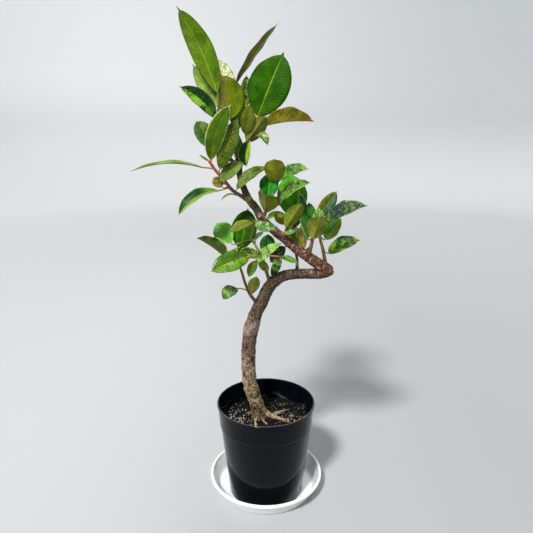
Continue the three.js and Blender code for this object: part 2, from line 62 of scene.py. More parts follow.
# Saucer
SAUCER_RIM_RADIUS = 148.5
SAUCER_FOOT_RADIUS = 127
SAUCER_HEIGHT = 39
SAUCER_FLOOR = 3
SAUCER_WALL = 3
SAUCER_SET_BACK = 18
SAUCER_BEVEL = 1.2

# Pot
POT_RIM_RADIUS = 125
POT_RIM_Z = 255
POT_LIP_HEIGHT = 6.5
POT_LIP_WIDTH = 3.5
POT_NECK_RADIUS = 122.5
POT_COLLAR_RADIUS = 119.5
POT_COLLAR_Z = 196
POT_COLLAR_STEP = 2.5
POT_FOOT_RADIUS = 95.5
POT_FLOOR_Z = 10
POT_WALL = 2.2
POT_BEVEL = 0.9
POT_SHARP_ANGLE = 32
SLOT_COUNT = 2
SLOT_AZIMUTH = -22.5
SLOT_SIZE = (16, 6, 20)
SLOT_FOOT_Z = 12
HOLE_COUNT = 6
HOLE_RADIUS = 5
HOLE_RING = 58
HOLE_SPAN = (0, 20)

# The pot's inner wall from the floor to the lip: radius and height
POT_INSIDE = [
    (POT_FOOT_RADIUS - POT_WALL, POT_FLOOR_Z),
    (POT_COLLAR_RADIUS - POT_COLLAR_STEP - POT_WALL, POT_COLLAR_Z),
    (POT_COLLAR_RADIUS - POT_WALL, POT_COLLAR_Z + POT_COLLAR_STEP),
    (POT_NECK_RADIUS - POT_WALL, POT_RIM_Z - POT_LIP_HEIGHT),
]

# Soil
SOIL_Z = 204
SOIL_RADIUS = 117
SOIL_EDGE_DROP = 3
GRANULES_OFF_EDGE = 3
TRUNK_FOOT = (-15, 15)
TRUNK_CLEARANCE = 20

# Bark, with the heights between which a kind of mark fades in or out
BARK_SWELL_LIMIT = 2.2
GRAIN_SLANT = 0.9
PITTED_TO = (370, 388)
BAND_FROM, BAND_TO = (384, 390), (436, 444)
LEDGE_FROM, LEDGE_TO = (430, 452), (476, 471)
SCARS_FROM = (590, 640)
SCAR_SPACING = 17

# Floor, and the place that the lamps shine towards, which is in metres
FLOOR_RADIUS = 5000
BEND_RADIUS = 1000
WALL_TOP = 2900
LIT_PLACE = Vector((0, 0, 0.5))

# How finely things are made
ROUND_SIDES = 192
HOLE_SIDES = 24
SOIL_SIDES = 240
SOIL_RINGS = 76
FLOOR_SIDES = 96
LIMB_SIDES = 28
LIMB_STEP = 1.5
BARK_VOXEL = 1.3
BLADE_STEPS = 56
BLADE_HALF_STEPS = 9
STEM_SIDES = 14
STEM_RINGS = 60
PETIOLE_SIDES = 10


# The trunk from its buried crown up to the cut end at the elbow: x, y, z, radius and bark tone
LOWER_TRUNK = [
    (-12, 16, 140, 10, "#3a2e20"),
    (-13, 15, 172, 17, "#3a2e20"),
    (-15, 15, 196, 24, "#4f4028"),
    (-18, 15, 212, 21.5, "#6d5732"),
    (-24, 15, 234, 18.5, "#857250"),
    (-30, 14, 259, 17.8, "#9c8866"),
    (-38, 12, 286, 18.6, "#a08c6c"),
    (-43, 9, 318, 18, "#9c866c"),
    (-44, 6, 366, 18, "#9a826e"),
    (-42, 2, 414, 17.5, "#6a5844"),
    (-34, -2, 462, 17.5, "#8a7266"),
    (-24, -5, 494, 16, "#5f4e38"),
    (-11, -8, 523, 15.5, "#574634"),
    (2, -12, 552, 15, "#544433"),
    (15, -16, 573, 14.2, "#483a2b"),
    (34, -21, 589, 13, "#483a2b"),
    (55, -27, 598, 12.4, "#4a3b2c"),
    (79, -34, 602, 12, "#483a2b"),
    (102, -40, 604, 11.8, "#4f3e2e"),
    (127, -46, 607, 12.8, "#5a4232"),
    (141, -49, 612, 13.6, "#5f4234"),
]

# The trunk from inside the elbow back over the pot, up to the fork under the crown
UPPER_TRUNK = [
    (152, -52, 609, 7, "#5f4234"),
    (147, -51, 612, 12, "#604335"),
    (141, -50, 617, 13.6, "#5c3c2d"),
    (121, -48, 629, 13.4, "#5a3829"),
    (89, -40, 650, 12, "#5c3b2c"),
    (62, -33, 669, 11.2, "#5f4031"),
    (43, -27, 684, 10.6, "#624536"),
    (23, -21, 699, 10.2, "#573c2c"),
    (-9, -12, 727, 9.6, "#503828"),
    (-22, -6, 750, 9.4, "#5a4a2c"),
    (-38, 0, 769, 8.8, "#564a26"),
    (-46, 2, 785, 8.2, "#5c3c28"),
    (-52, 4, 800, 7.8, "#56362a"),
    (-59, 6, 820, 7.2, "#5f3c2c"),
    (-62, 8, 842, 7.6, "#553024"),
    (-62, 9, 856, 9.6, "#553024"),
    (-61, 9, 868, 7, "#553024"),
]

# The forked root and the small pale ones lie on the soil, the others go down into it
ROOTS = [
    [
        (-16, 16, 206, 9, "#76603e"), (-4, 13, 212, 8, "#a08a70"), (8, 6, 211, 7, "#a58e74"),
        (20, -2, 209, 5.6, "#a08a70"), (38, -9, 207, 4.6, "#94806a"), (60, -18, 202, 3.4, "#7c6a56"),
    ],
    [
        (16, 2, 209, 5, "#a08a70"), (26, 10, 211, 5.4, "#a58e74"), (38, 19, 210, 4.6, "#94806a"),
        (54, 38, 205, 3.2, "#7c6a56"),
    ],
    [
        (-20, 6, 206, 6, "#6f5c3c"), (-25, -8, 206, 3.6, "#8f7a58"), (-28, -20, 203, 2.6, "#b09a76"),
        (-25, -33, 203, 2.8, "#c0aa84"), (-24, -40, 199, 2, "#a88c66"),
    ],
    [
        (-12, 4, 206, 5, "#6f5c3c"), (-7, -15, 205, 2.8, "#8f7a58"), (1, -26, 204, 2.1, "#b09a76"),
        (10, -41, 201, 1.6, "#c0aa84"),
    ],
    [
        (-16, 18, 204, 9, "#6f5a34"), (-34, 22, 205, 7, "#6a5636"), (-50, 28, 200, 4.5, "#5a4a30"),
        (-64, 32, 190, 3, "#4a3c28"),
    ],
    [(-12, 16, 180, 9, "#4a3c28"), (-34, 4, 150, 6, "#4a3c28"), (-52, -10, 116, 3, "#4a3c28")],
    [(-12, 16, 176, 9, "#4a3c28"), (14, 30, 146, 6, "#4a3c28"), (34, 44, 108, 3, "#4a3c28")],
]

# Spots painted on the bark: middle, radius and tone
BARK_SPOTS = [
    ((-50, -12, 452), 16, "#9a7c70"),
    ((-48, -10, 468), 7, "#8a5446"),
    ((-26, -14, 458), 12, "#86695c"),
    ((-34, -6, 226), 12, "#4f4026"),
    ((-30, -6, 397), 7, "#6f6a50"),
    ((104, -52, 612), 6, "#a08c7c"),
    ((104, -53, 612), 2.5, "#3a2c22"),
    # The pale patches at 622, 660, 682, 706 and 738 mm up the front of the upper limb are partly its own
    # scars and flakes and partly painted highlights on its lit upper side
    ((119, -60, 622), 5, "#b09a92"),
    ((88, -51, 660), 6, "#a88478"),
    ((62, -44, 682), 4, "#a08074"),
    ((154, -53, 611), 6, "#7f6f68"),
    ((16, -30, 706), 7, "#a88a84"),
    ((-14, -20, 738), 6, "#a08478"),
    ((-20, -14, 750), 9, "#5f6a28"),
    ((-40, -8, 772), 9, "#5f6428"),
]

# Leafy side shoots. A stem is the points that it passes and its radius at the foot and at the
# top. A leaf is: its name, how far up the stem it grows, the foot and the tip of its blade, the
# blade's width, the way its upper face looks, how far it arches along and bows sideways as a
# share of its length, and how steeply its halves fold up from the midrib in degrees.
SHOOTS = {
    "crown_left": {
        "stem": [(-62, 9, 846), (-90, -4, 873), (-100, -12, 905), (-103, -18, 948), (-104, -20, 994)],
        "radii": (4.6, 2.6),
        "leaves": [
            ("tall", 0.98, (-105, -24, 1007), (-180, -60, 1169), 54, (0.2, 1, 0.1), 0.03, -0.03, 14),
            ("tall_shade", 0.85, (-96, -12, 976), (-163, 22, 1068), 44, (-0.2, 1, 0.2), 0.04, 0, 15),
            ("red_rib", 0.4, (-82, -30, 950), (-96, -40, 1042), 74, (0.42, 0.9, 0), 0.05, -0.05, 27),
            ("yellow_fold", 0.55, (-70, -16, 936), (-56, -14, 1001), 36, (-0.1, 1, 0.1), 0.05, 0, 14),
            ("left_marbled", 0.75, (-109, -26, 952), (-182, -55, 1016), 40,
             (-0.1, -0.8, 0.6), 0.08, 0.05, 20),
            ("left_low", 0.36, (-117, 0, 885), (-160, 30, 947), 46, (0.1, -0.95, 0.3), 0.06, 0, 18),
        ],
    },
    "crown_middle": {
        "stem": [(-62, 10, 850), (-72, 20, 887), (-73, 26, 938), (-66, 32, 982), (-61, 36, 1014)],
        "radii": (4.6, 2.6),
        "leaves": [
            ("pale_back", 0.9, (-75, 40, 1006), (-116, 60, 1085), 42, (0.1, -0.9, 0.4), 0.05, 0, 10),
            ("blade", 0.98, (-68, 38, 1028), (27, 30, 1153), 44, (-0.85, 0.3, 0.5), 0.03, 0, 8),
            ("speckled", 0.6, (-47, 30, 975), (-44, 45, 1047), 28, (0.2, -0.95, 0.2), 0.05, 0, 12),
            ("dark_heart", 0.45, (-59, 14, 933), (-51, -2, 985), 24, (0.3, -0.9, 0.2), 0.05, 0, 15),
            ("behind", 0.8, (-69, 55, 994), (-81, 150, 1017), 56, (0, -0.3, 1), 0.08, 0, 18),
        ],
    },
    "crown_right": {
        "stem": [(-59, 8, 847), (-50, 2, 872), (-42, -4, 901), (-33, -6, 931), (-26, -4, 951)],
        "radii": (4.6, 2.8),
        "leaves": [
            ("round", 0.98, (-18, 4, 957), (39, 12, 1091), 94, (-0.05, -0.97, 0.25), 0.04, 0, 10),
            ("side", 0.9, (-4, 0, 936), (106, -26, 945), 66, (0, 0.3, 1), 0.05, 0, 55),
            ("olive", 0.5, (-42, -14, 901), (2, -34, 957), 42, (-0.2, 0.95, 0.2), 0.04, 0, 15),
            ("yellow", 0.6, (-46, -18, 919), (-34, -36, 982), 32, (0.2, -0.95, 0.1), 0.04, 0, 12),
            ("low_lens", 0.15, (-57, 0, 861), (-67, -8, 927), 26, (0.3, -0.95, 0), 0.05, -0.05, 15),
            ("hanging", 0.45, (-36, -14, 904), (-43, -22, 847), 32, (-0.45, -0.9, 0), 0.1, 0.08, 20),
            ("drooping", 0.66, (-29, -6, 910), (5, -30, 893), 30, (0.1, -0.4, 0.9), 0.35, 0, 15),
        ],
    },
    "left_branch": {
        "stem": [(-46, 2, 772), (-77, -14, 795), (-94, -24, 818), (-111, -32, 839), (-123, -36, 857)],
        "radii": (4.6, 3),
        "leaves": [
            ("long", 0.82, (-141, -42, 848), (-294, -60, 840), 44, (0, -0.08, 1), 0.085, 0, 12),
            ("bud", 1, (-123, -36, 859), (-147, -40, 875), 5, (0, -1, 0), 0, 0, 0),
            ("green", 0.85, (-120, -46, 864), (-74, -56, 980), 42, (0.2, -0.97, 0.1), 0.05, -0.08, 12),
            ("marbled", 0.7, (-101, -44, 844), (-60, -40, 954), 42, (-0.15, -0.97, 0.1), 0.05, 0, 12),
            ("low", 0.35, (-108, -30, 795), (-194, -70, 743), 42, (-0.3, -0.55, 0.8), 0.16, 0, 22),
            ("curl", 0.12, (-68, -14, 783), (-102, -22, 771), 10, (0, -0.3, 1), 0.25, 0, 0),
            ("small", 0.4, (-100, -12, 801), (-120, 0, 822), 26, (0.1, -0.9, 0.3), 0.05, 0, 15),
            ("grey", 0.45, (-100, -38, 817), (-48, -38, 858), 34, (-0.3, -0.9, 0.3), 0.05, -0.05, 15),
        ],
    },
    "upper_right_branch": {
        "stem": [(-7, -14, 716), (-2, -16, 742), (7, -16, 772), (16, -12, 799), (21, -8, 814)],
        "radii": (4.4, 2.6),
        "leaves": [
            ("arch", 0.9, (0, -30, 847), (-66, -62, 798), 34, (-0.2, -0.6, 0.8), 0.12, 0, 15),
            ("crown", 0.95, (21, -22, 810), (18, -92, 869), 48, (0, 0.7, 0.7), 0.05, 0, 15),
            ("glossy", 0.3, (5, -50, 779), (9, 0, 832), 44, (0, -0.9, 0.5), 0.05, 0, 12),
            ("lime", 0.95, (30, -6, 814), (97, -20, 843), 52, (-0.15, -0.5, 0.85), 0.06, 0, 30),
            ("speckled", 0.7, (30, -24, 762), (99, -60, 817), 54, (-0.15, -0.5, 0.85), 0.06, 0, 30),
            ("folded", 0.25, (-2, -34, 745), (-1, -92, 794), 64, (0.4, 0.75, 0.55), 0.05, 0, 35),
            ("bright", 0.2, (3, -26, 730), (25, -34, 750), 13, (0, -0.8, 0.6), 0.05, 0, 0),
        ],
    },
    "middle_right_branch": {
        "stem": [(39, -28, 684), (46, -30, 703), (55, -28, 728), (64, -24, 750)],
        "radii": (3.6, 2.4),
        "leaves": [
            ("olive", 0.25, (46, -42, 712), (80, -84, 774), 40, (0, 0.9, 0.4), 0.05, 0, 18),
            ("olive_left", 0.6, (44, -26, 718), (18, -16, 746), 28, (0, 0.95, 0.3), 0.05, 0, 15),
            ("shade", 0.35, (59, -10, 704), (79, 4, 758), 36, (0, 0.95, 0.3), 0.05, 0, 12),
            ("dark_big", 0.55, (66, 14, 728), (57, 44, 828), 72, (0, -0.85, 0.5), 0.05, 0, 10),
            ("behind", 0.7, (70, 30, 738), (78, 112, 748), 54, (0, -0.3, 1), 0.08, 0, 18),
            ("pale", 0.3, (43, -46, 699), (67, -62, 708), 14, (0, -0.8, 0.6), 0.1, 0, 0),
        ],
    },
    "right_branch": {
        "stem": [(97, -44, 642), (103, -46, 669), (107, -46, 697), (109, -42, 726)],
        "radii": (4.6, 2.8),
        "leaves": [
            ("low", 0.22, (82, -10, 653), (45, 0, 692), 40, (0.2, 0.95, 0.1), 0.05, 0, 10),
            ("upright", 0.32, (89, -24, 659), (88, -14, 725), 24, (-0.4, 0.9, 0), 0.05, 0, 15),
            ("broad", 0.45, (107, -62, 691), (120, -106, 750), 52, (0, 0.9, 0.45), 0.05, 0, 12),
            ("edge", 0.55, (97, -30, 684), (76, 0, 791), 36, (0.6, -0.8, 0.1), 0.05, -0.05, 20),
            ("cream", 0.5, (119, -34, 704), (120, -34, 759), 32, (0, -0.9, 0.4), 0.05, 0, 12),
            ("crown", 0.9, (117, -26, 735), (162, -14, 792), 36, (0.3, -0.85, 0.4), 0.05, 0, 25),
            ("mid", 0.8, (108, -26, 730), (96, -30, 769), 20, (0, -0.95, 0.3), 0.05, 0, 10),
            ("behind", 0.7, (117, -10, 713), (128, 70, 726), 48, (0, -0.3, 1), 0.08, 0, 18),
        ],
    },
    "elbow_branch": {
        "stem": [(138, -50, 625), (130, -50, 663), (123, -46, 692), (125, -42, 721)],
        "radii": (4.6, 2.8),
        "leaves": [
            ("marbled", 0.9, (131, -48, 714), (221, -80, 769), 66, (0, -0.47, 0.88), 0.05, 0, 35),
            ("low", 0.35, (142, -48, 655), (210, -70, 690), 44, (-0.1, -0.6, 0.8), 0.08, 0, 20),
            ("shade", 0.7, (137, -26, 683), (176, -10, 729), 44, (0, 0.9, 0.4), 0.05, 0, 12),
        ],
    },
    "left_middle_branch": {
        "stem": [(10, -14, 573), (0, -20, 607), (-9, -22, 637), (-21, -18, 660), (-33, -12, 678)],
        "radii": (4.6, 2.8),
        "leaves": [
            ("lime", 0.5, (-39, -52, 648), (-123, -90, 622), 54, (-0.1, -0.75, 0.65), 0.06, 0, 15),
            ("dark_speckled", 0.6, (-11, -34, 643), (-80, -46, 662), 28, (0, -0.8, 0.6), 0.06, 0, 12),
            ("reach", 0.45, (-20, -46, 633), (36, -78, 685), 30, (-0.3, -0.8, 0.5), 0.1, 0, 25),
            ("dark", 0.65, (3, -4, 637), (5, 30, 684), 38, (0, -0.85, 0.5), 0.05, 0, 12),
            ("hanging", 0.4, (-23, -36, 633), (-39, -58, 600), 24, (-0.3, -0.9, 0.2), 0.08, 0, 20),
            ("big", 0.66, (-60, 12, 651), (-43, 50, 743), 62, (0, -0.9, 0.45), 0.05, 0, 10),
            ("back_green", 0.95, (-83, 2, 668), (-119, 50, 707), 50, (-0.1, -0.8, 0.6), 0.05, 0, 12),
            ("inner", 0.3, (5, -28, 607), (-18, -38, 637), 20, (0, -0.9, 0.3), 0.05, 0, 12),
            ("marbled_right", 0.12, (14, -14, 591), (36, 0, 636), 22, (0, -0.9, 0.3), 0.05, 0, 15),
            ("olive_small", 0.98, (-32, -26, 721), (-81, -48, 702), 30, (-0.1, -0.6, 0.8), 0.1, 0, 20),
            ("small_right", 0.52, (34, -44, 645), (73, -50, 632), 16, (0, -0.7, 0.7), 0.1, 0, 10),
            ("behind", 0.8, (-26, 10, 673), (-35, 90, 667), 50, (0, -0.3, 1), 0.08, 0, 18),
        ],
    },
    "left_low_branch": {
        "stem": [(-22, -12, 522), (-38, -24, 549), (-49, -32, 579), (-58, -36, 612), (-69, -38, 641)],
        "radii": (4.2, 2.6),
        "leaves": [
            ("grey", 0.95, (-92, -42, 643), (-156, -66, 695), 58, (0.05, 0.42, 0.9), 0.04, 0, 35),
            ("twisted", 0.28, (-68, -34, 566), (-100, -54, 545), 38, (-0.4, -0.7, 0.6), 0.2, 0, 12),
            ("olive", 0.2, (-35, -30, 551), (-21, -50, 600), 28, (0, 0.95, 0.3), 0.05, 0, 12),
        ],
    },
    "trunk_leaf": {
        "stem": [(-4, -8, 710), (-16, -22, 722), (-25, -32, 727)],
        "radii": (2, 1.6),
        "leaves": [
            ("grey_green", 0.95, (-23, -34, 724), (26, -58, 719), 27, (-0.1, -0.85, 0.5), 0.04, 0.15, 20),
        ],
    },
    "back_branch": {
        "stem": [(73, -32, 611), (73, -14, 635), (65, 12, 656), (51, 30, 676)],
        "radii": (3.8, 2.6),
        "leaves": [
            ("dark", 0.8, (47, 32, 651), (10, 46, 609), 36, (0, -0.8, 0.6), 0.05, 0, 12),
            ("behind", 0.8, (58, 44, 666), (87, 118, 681), 50, (0, -0.3, 1), 0.08, 0, 18),
        ],
    },
}


@dataclass
class Face:
    """How one face of a blade is coloured. Left and right are as seen with the tip up."""

    tone: str
    right: str = ""
    foot: str = ""
    tip: str = ""
    rib: str = "#8fa24a"
    edge: str = ""
    patch: str = "#24501f"
    amount: float = 0.0
    speckle: float = 0.0
    veins: float = 0.55
    petiole: str = "#87803a"
    gloss: float = 0.3


# The faces that nothing says more about
UPPER = Face("#34701c", patch="#86b040", amount=0.4, rib="#86b356", speckle=0.2)
UNDER = Face("#6c7c32", patch="#56662a", amount=0.35, rib="#98a052", veins=0.25, gloss=0.1)

# The face that each blade turns to the front, and its other face where it shows beside it
PAINT = {
    "crown_left": {
        "tall": Face("#6e8f26", right="#5f861e", rib="#98b550", edge="#44681a", veins=0.15, gloss=0.1),
        "tall_shade": Face("#83a057", right="#6f8d3f", rib="#a3b878", edge="#4c6a26", veins=0.2),
        "red_rib": Face("#787f3a", right="#6c8418", rib="#96512f", tip="#96824a", veins=0.25, gloss=0.15),
        "yellow_fold": Face("#6e8a1c", right="#789220", rib="#929c34", tip="#969038", veins=0.8),
        "left_marbled": (
            Face("#7db53c", right="#163f24", patch="#0f3320", amount=0.42, rib="#8fc95a",
                 foot="#5a9038", edge="#3d7a2a", speckle=0.15),
            Face("#7a9a44", rib="#a0ad5e"),
        ),
        "left_low": Face("#40703a", right="#6f8234", patch="#1f4a28", amount=0.35, edge="#6f8a3a"),
    },
    "crown_middle": {
        "pale_back": Face("#9cb08c", patch="#dfe6ee", amount=0.42, rib="#c3d39a", edge="#6f8f45"),
        "blade": Face("#7c7431", right="#7f9a4c", tip="#8c8d76", foot="#6f6a22", rib="#8a8a50"),
        "speckled": Face("#5f7a20", patch="#1c3a12", amount=0.45, speckle=1.0, rib="#7d8f34"),
        "dark_heart": Face("#1d3f16", patch="#3c6420", amount=0.3, rib="#3f6a26"),
    },
    "crown_right": {
        "round": Face("#31640a", right="#2a5a09", rib="#a0b43a", foot="#3c6c10",
                      edge="#244c0a", veins=1.0, petiole="#b0762a", gloss=0.05),
        "side": Face("#8a842c", patch="#6e6a1e", amount=0.45, rib="#8a7c2a", edge="#6d4e1c",
                     tip="#7d5a22", veins=0.7),
        "olive": Face("#7d8546", right="#6f7c3c", rib="#5c4328", edge="#535c2c", veins=0.6,
                      petiole="#5a2418"),
        "yellow": Face("#687a20", rib="#947838", edge="#54681c", patch="#506818", amount=0.25),
        "low_lens": Face("#5d7a30", rib="#8a9a52", edge="#8fa35c", veins=0.6),
        "hanging": Face("#8cae34", right="#254f24", rib="#3c6230", edge="#a3bd4c", veins=0.5),
        "drooping": (
            Face("#5f7f45", patch="#b4c6a0", amount=0.36, rib="#b9cba0", edge="#14301c"),
            Face("#4c6a35", edge="#14301c"),
        ),
    },
    "left_branch": {
        "long": Face("#74944c", rib="#8fa866", edge="#5a7a3c", veins=0.2, petiole="#96602e"),
        "bud": Face("#8aa040", rib="#b0503a", veins=0),
        "green": Face("#52741a", right="#466a14", edge="#c4d6b4", rib="#6f9434", veins=0.5,
                      foot="#54741c", petiole="#a0502e", gloss=0.2),
        "marbled": Face("#5f6c25", right="#55621f", patch="#3c5a1a", amount=0.42, tip="#4f7430",
                        edge="#5f7426", speckle=0.3, rib="#8a9c44", gloss=0.15),
        "low": (
            Face("#7d9440", right="#0f4019", patch="#5f9a3a", amount=0.22, edge="#79b54e",
                 rib="#98b45c", foot="#6fa03c"),
            Face("#839845", edge="#6f853a", rib="#98a658"),
        ),
        "curl": Face("#6d8a46", veins=0),
        "small": Face("#87832f", right="#78803a", rib="#9a7a40", tip="#8a8f3c"),
        "grey": Face("#688444", patch="#56703c", amount=0.4, rib="#8aa05c", edge="#8aa468",
                     petiole="#93472c"),
    },
    "upper_right_branch": {
        "arch": Face("#647c2c", patch="#465e22", amount=0.45, edge="#4f6a28", rib="#8a9a4c"),
        "crown": Face("#aeb044", right="#a0a83a", patch="#7c8630", amount=0.3, rib="#cfc35a",
                      veins=0.7, speckle=0.1),
        "glossy": Face("#187616", right="#148018", rib="#6cd048", foot="#146012", edge="#0c480f",
                       veins=0.6, gloss=0.5),
        "lime": (
            Face("#5f962c", patch="#1c4f28", amount=0.44, edge="#88b84c", rib="#a4d468",
                 right="#528a26", speckle=0.4),
            Face("#2c5426", edge="#142f16"),
        ),
        "speckled": (
            Face("#709c48", patch="#24523a", amount=0.43, edge="#b8da8c", rib="#c8e2a0", speckle=0.6),
            Face("#5d8f3c", edge="#8ab05a"),
        ),
        "folded": Face("#86884c", right="#7a8034", rib="#a0522f", tip="#6f8a44", edge="#6d702c"),
        "bright": Face("#8ec23e", rib="#c07a3a", veins=0),
    },
    "middle_right_branch": {
        "olive": Face("#869a3e", right="#788c34", rib="#8f8a42", edge="#5a6e28", petiole="#6a2c1c"),
        "olive_left": Face("#79862f", rib="#958a3c", edge="#5d6a26"),
        "shade": Face("#56661f", rib="#7a8236", edge="#46561c"),
        "dark_big": Face("#54ae20", right="#48a01e", rib="#78cc44", edge="#145414", veins=0.6, gloss=0.25),
        "pale": Face("#64905c", patch="#a9c09a", amount=0.35, veins=0),
    },
    "right_branch": {
        "low": Face("#79863a", patch="#66742c", amount=0.35, rib="#8f8c48"),
        "upright": Face("#827f38", rib="#97924c", edge="#66662c"),
        "broad": Face("#8f9a40", right="#8a963a", patch="#74822e", amount=0.3, rib="#a2603a",
                      edge="#667030", petiole="#8a4528"),
        "edge": Face("#3f8a35", right="#2f6f2c", edge="#c9d2c4", rib="#4f9a3c"),
        "cream": Face("#8fb578", patch="#24503a", amount=0.5, rib="#9fc27a", speckle=0.7),
        "crown": Face("#747c38", right="#31583a", patch="#1f4430", amount=0.3, rib="#8a9850"),
        "mid": Face("#3a7a38", patch="#24502c", amount=0.4, rib="#7fc05a"),
    },
    "elbow_branch": {
        "marbled": (
            Face("#5c8a4c", right="#6a9a50", patch="#263f4c", amount=0.6, rib="#a8d67a", edge="#94c068",
                 speckle=0.35),
            Face("#5a8030", edge="#8aa84a", rib="#8aa650"),
        ),
        "low": (
            Face("#5f9428", right="#66882a", patch="#163f18", amount=0.55, edge="#5f9a35",
                 rib="#8ac048", speckle=0.4),
            Face("#5f8a3c"),
        ),
        "shade": Face("#3c7a22", right="#6f8a2c", rib="#8f9a44", edge="#a0b45c"),
    },
    "left_middle_branch": {
        "lime": Face("#638c17", right="#4c7816", patch="#386612", amount=0.4, rib="#d0d83c",
                     edge="#3f7018", veins=1.0, petiole="#d07f30", gloss=0.9),
        "dark_speckled": Face("#143c14", patch="#7aa038", amount=0.42, rib="#3f6f24",
                              edge="#2f5a1c", speckle=0.8),
        "reach": Face("#a0cc80", patch="#2c5a34", amount=0.46, rib="#b4cf80", edge="#4a7a30",
                      speckle=0.6),
        "dark": Face("#1f6d22", right="#1a5f1f", rib="#3c8a34", edge="#0f4514"),
        "hanging": Face("#4e822c", right="#77873c", rib="#9aa84a", edge="#3a6322"),
        "big": Face("#2d600b", right="#28560a", rib="#6fa040", edge="#1e480a", veins=0.7, gloss=0.05),
        "back_green": Face("#62b62c", right="#58aa26", rib="#90cc5a", edge="#2a7020",
                           patch="#7cc06a", amount=0.2, gloss=0.5),
        "inner": Face("#7d9434", rib="#96a04a"),
        "marbled_right": Face("#24502a", patch="#6c9a4c", amount=0.42, rib="#4f8a45"),
        "olive_small": Face("#7e8636", patch="#6a7430", amount=0.35, rib="#95914a",
                            petiole="#b06a30"),
        "small_right": Face("#629c4c", rib="#8ab86a", petiole="#b8622e"),
    },
    "left_low_branch": {
        "grey": (
            Face("#475a38", right="#55683c", patch="#34482c", amount=0.3, rib="#7d7c4c",
                 edge="#c9c8a4", gloss=0.1),
            Face("#4f5c3e", patch="#3a4a34", amount=0.45, rib="#8f5a3c", edge="#c9c8a4",
                 tip="#a08f3c", gloss=0.1),
        ),
        "twisted": Face("#45704a", patch="#7fa45c", amount=0.4, rib="#8aa45c", edge="#2f5a38",
                        petiole="#c0603a"),
        "olive": Face("#8c9448", right="#7c8840", rib="#a8a05c", edge="#66723a"),
    },
    "trunk_leaf": {
        "grey_green": Face("#4c7c4c", patch="#a9c29c", amount=0.42, rib="#c2d2b2", edge="#3c6f45",
                           tip="#4f7f3c"),
    },
    "back_branch": {
        "dark": Face("#234f2a", patch="#4c7d3c", amount=0.42, rib="#4f8048"),
    },
}

# The bark or skin of each side shoot, at its foot and at its top
STEM_TONES = {
    "crown_left": ("#4a3422", "#74702f"),
    "crown_middle": ("#4a3422", "#6a702f"),
    "crown_right": ("#5a2f22", "#7a6a2f"),
    "left_branch": ("#6a4a30", "#b0582f"),
    "upper_right_branch": ("#6f4a34", "#8a5a30"),
    "middle_right_branch": ("#6a4028", "#86402a"),
    "right_branch": ("#5a3f26", "#80682f"),
    "elbow_branch": ("#4a3622", "#6f6030"),
    "left_middle_branch": ("#5a5428", "#7a8434"),
    "left_low_branch": ("#4c3c22", "#93602f"),
    "trunk_leaf": ("#5f6a2f", "#6f7f3a"),
    "back_branch": ("#4a3d26", "#5f5a2a"),
}

# Blades, with shares of their length or width where no unit is named
BLADE_CROWDING = 1.35
BLADE_THICKNESS = 0.8
BLADE_FULLNESS = 0.6
BLADE_FOOT_SHARE = 0.07
DRIP_TIP_START = 0.95
DRIP_TIP_SHARE = 0.07
FOLD_ROUNDNESS = 0.012
BULGE_SHARE = 0.05
WAVE_SHARE = 0.022
GROOVE_DEPTH = 0.3
GROOVE_WIDTH = 1.1
VEIN_SLANT = 0.32
SURFACE_SLOT, UNDER_SLOT, STEM_SLOT = range(3)

# Petioles and stems
PETIOLE_RADIUS = 1.5
PETIOLE_REACH = 0.35
PETIOLE_SINK = 0.55
SMALL_PETIOLE_SHARE = 0.125
BUD_LENGTH = 11
END_TURNS = (80, 55, 28)
END_FLATNESS = 0.6
NO_DETAIL = (0, 0, 0)

# Real leaf green holds less blue than the tones above, which were judged under a pale sky
LEAF_FILTER = (1.0, 0.98, 0.58)


def linear(colour):
    """The linear red, green and blue of a colour written as #rrggbb."""
    shares = np.array([int(colour[i:i + 2], 16) / 255 for i in (1, 3, 5)])
    return np.where(shares <= 0.04045, shares / 12.92, ((shares + 0.055) / 1.055) ** 2.4)


def with_alpha(colours, alpha=1.0):
    colours = np.asarray(colours, float)
    return np.concatenate([colours, np.full((*colours.shape[:-1], 1), alpha)], axis=-1)


def mixed(first, second, share):
    """Two colours or arrays of them, mixed point by point."""
    share = np.asarray(share, float)[..., None]
    return first * (1 - share) + second * share


def smooth_step(low, high, value):
    share = np.clip((value - low) / (high - low), 0, 1)
    return share * share * (3 - 2 * share)


def hump(value, width):
    """A bell curve: 1 where the value is nothing, and almost nothing beyond twice the width."""
    return np.exp(-((value / width) ** 2))


def unit(vectors):
    return vectors / np.maximum(np.linalg.norm(vectors, axis=-1, keepdims=True), 1e-9)


def squared(vectors, away):
    """Directions with their part along others taken out."""
    return unit(vectors - np.sum(vectors * away, axis=-1, keepdims=True) * away)


def circle(sides):
    """The corners of a round outline of radius 1."""
    angles = np.linspace(0, 2 * math.pi, sides, endpoint=False)
    return np.stack([np.cos(angles), np.sin(angles)], axis=-1)


def seed_number(text):
    return random.Random(text).uniform(0, 900)


# Shapes

# How a painted value of so many parts is stored, and the name that it is filled in by
ATTRIBUTE_KINDS = {1: ("FLOAT", "value"), 3: ("FLOAT_VECTOR", "vector"), 4: ("FLOAT_COLOR", "color")}


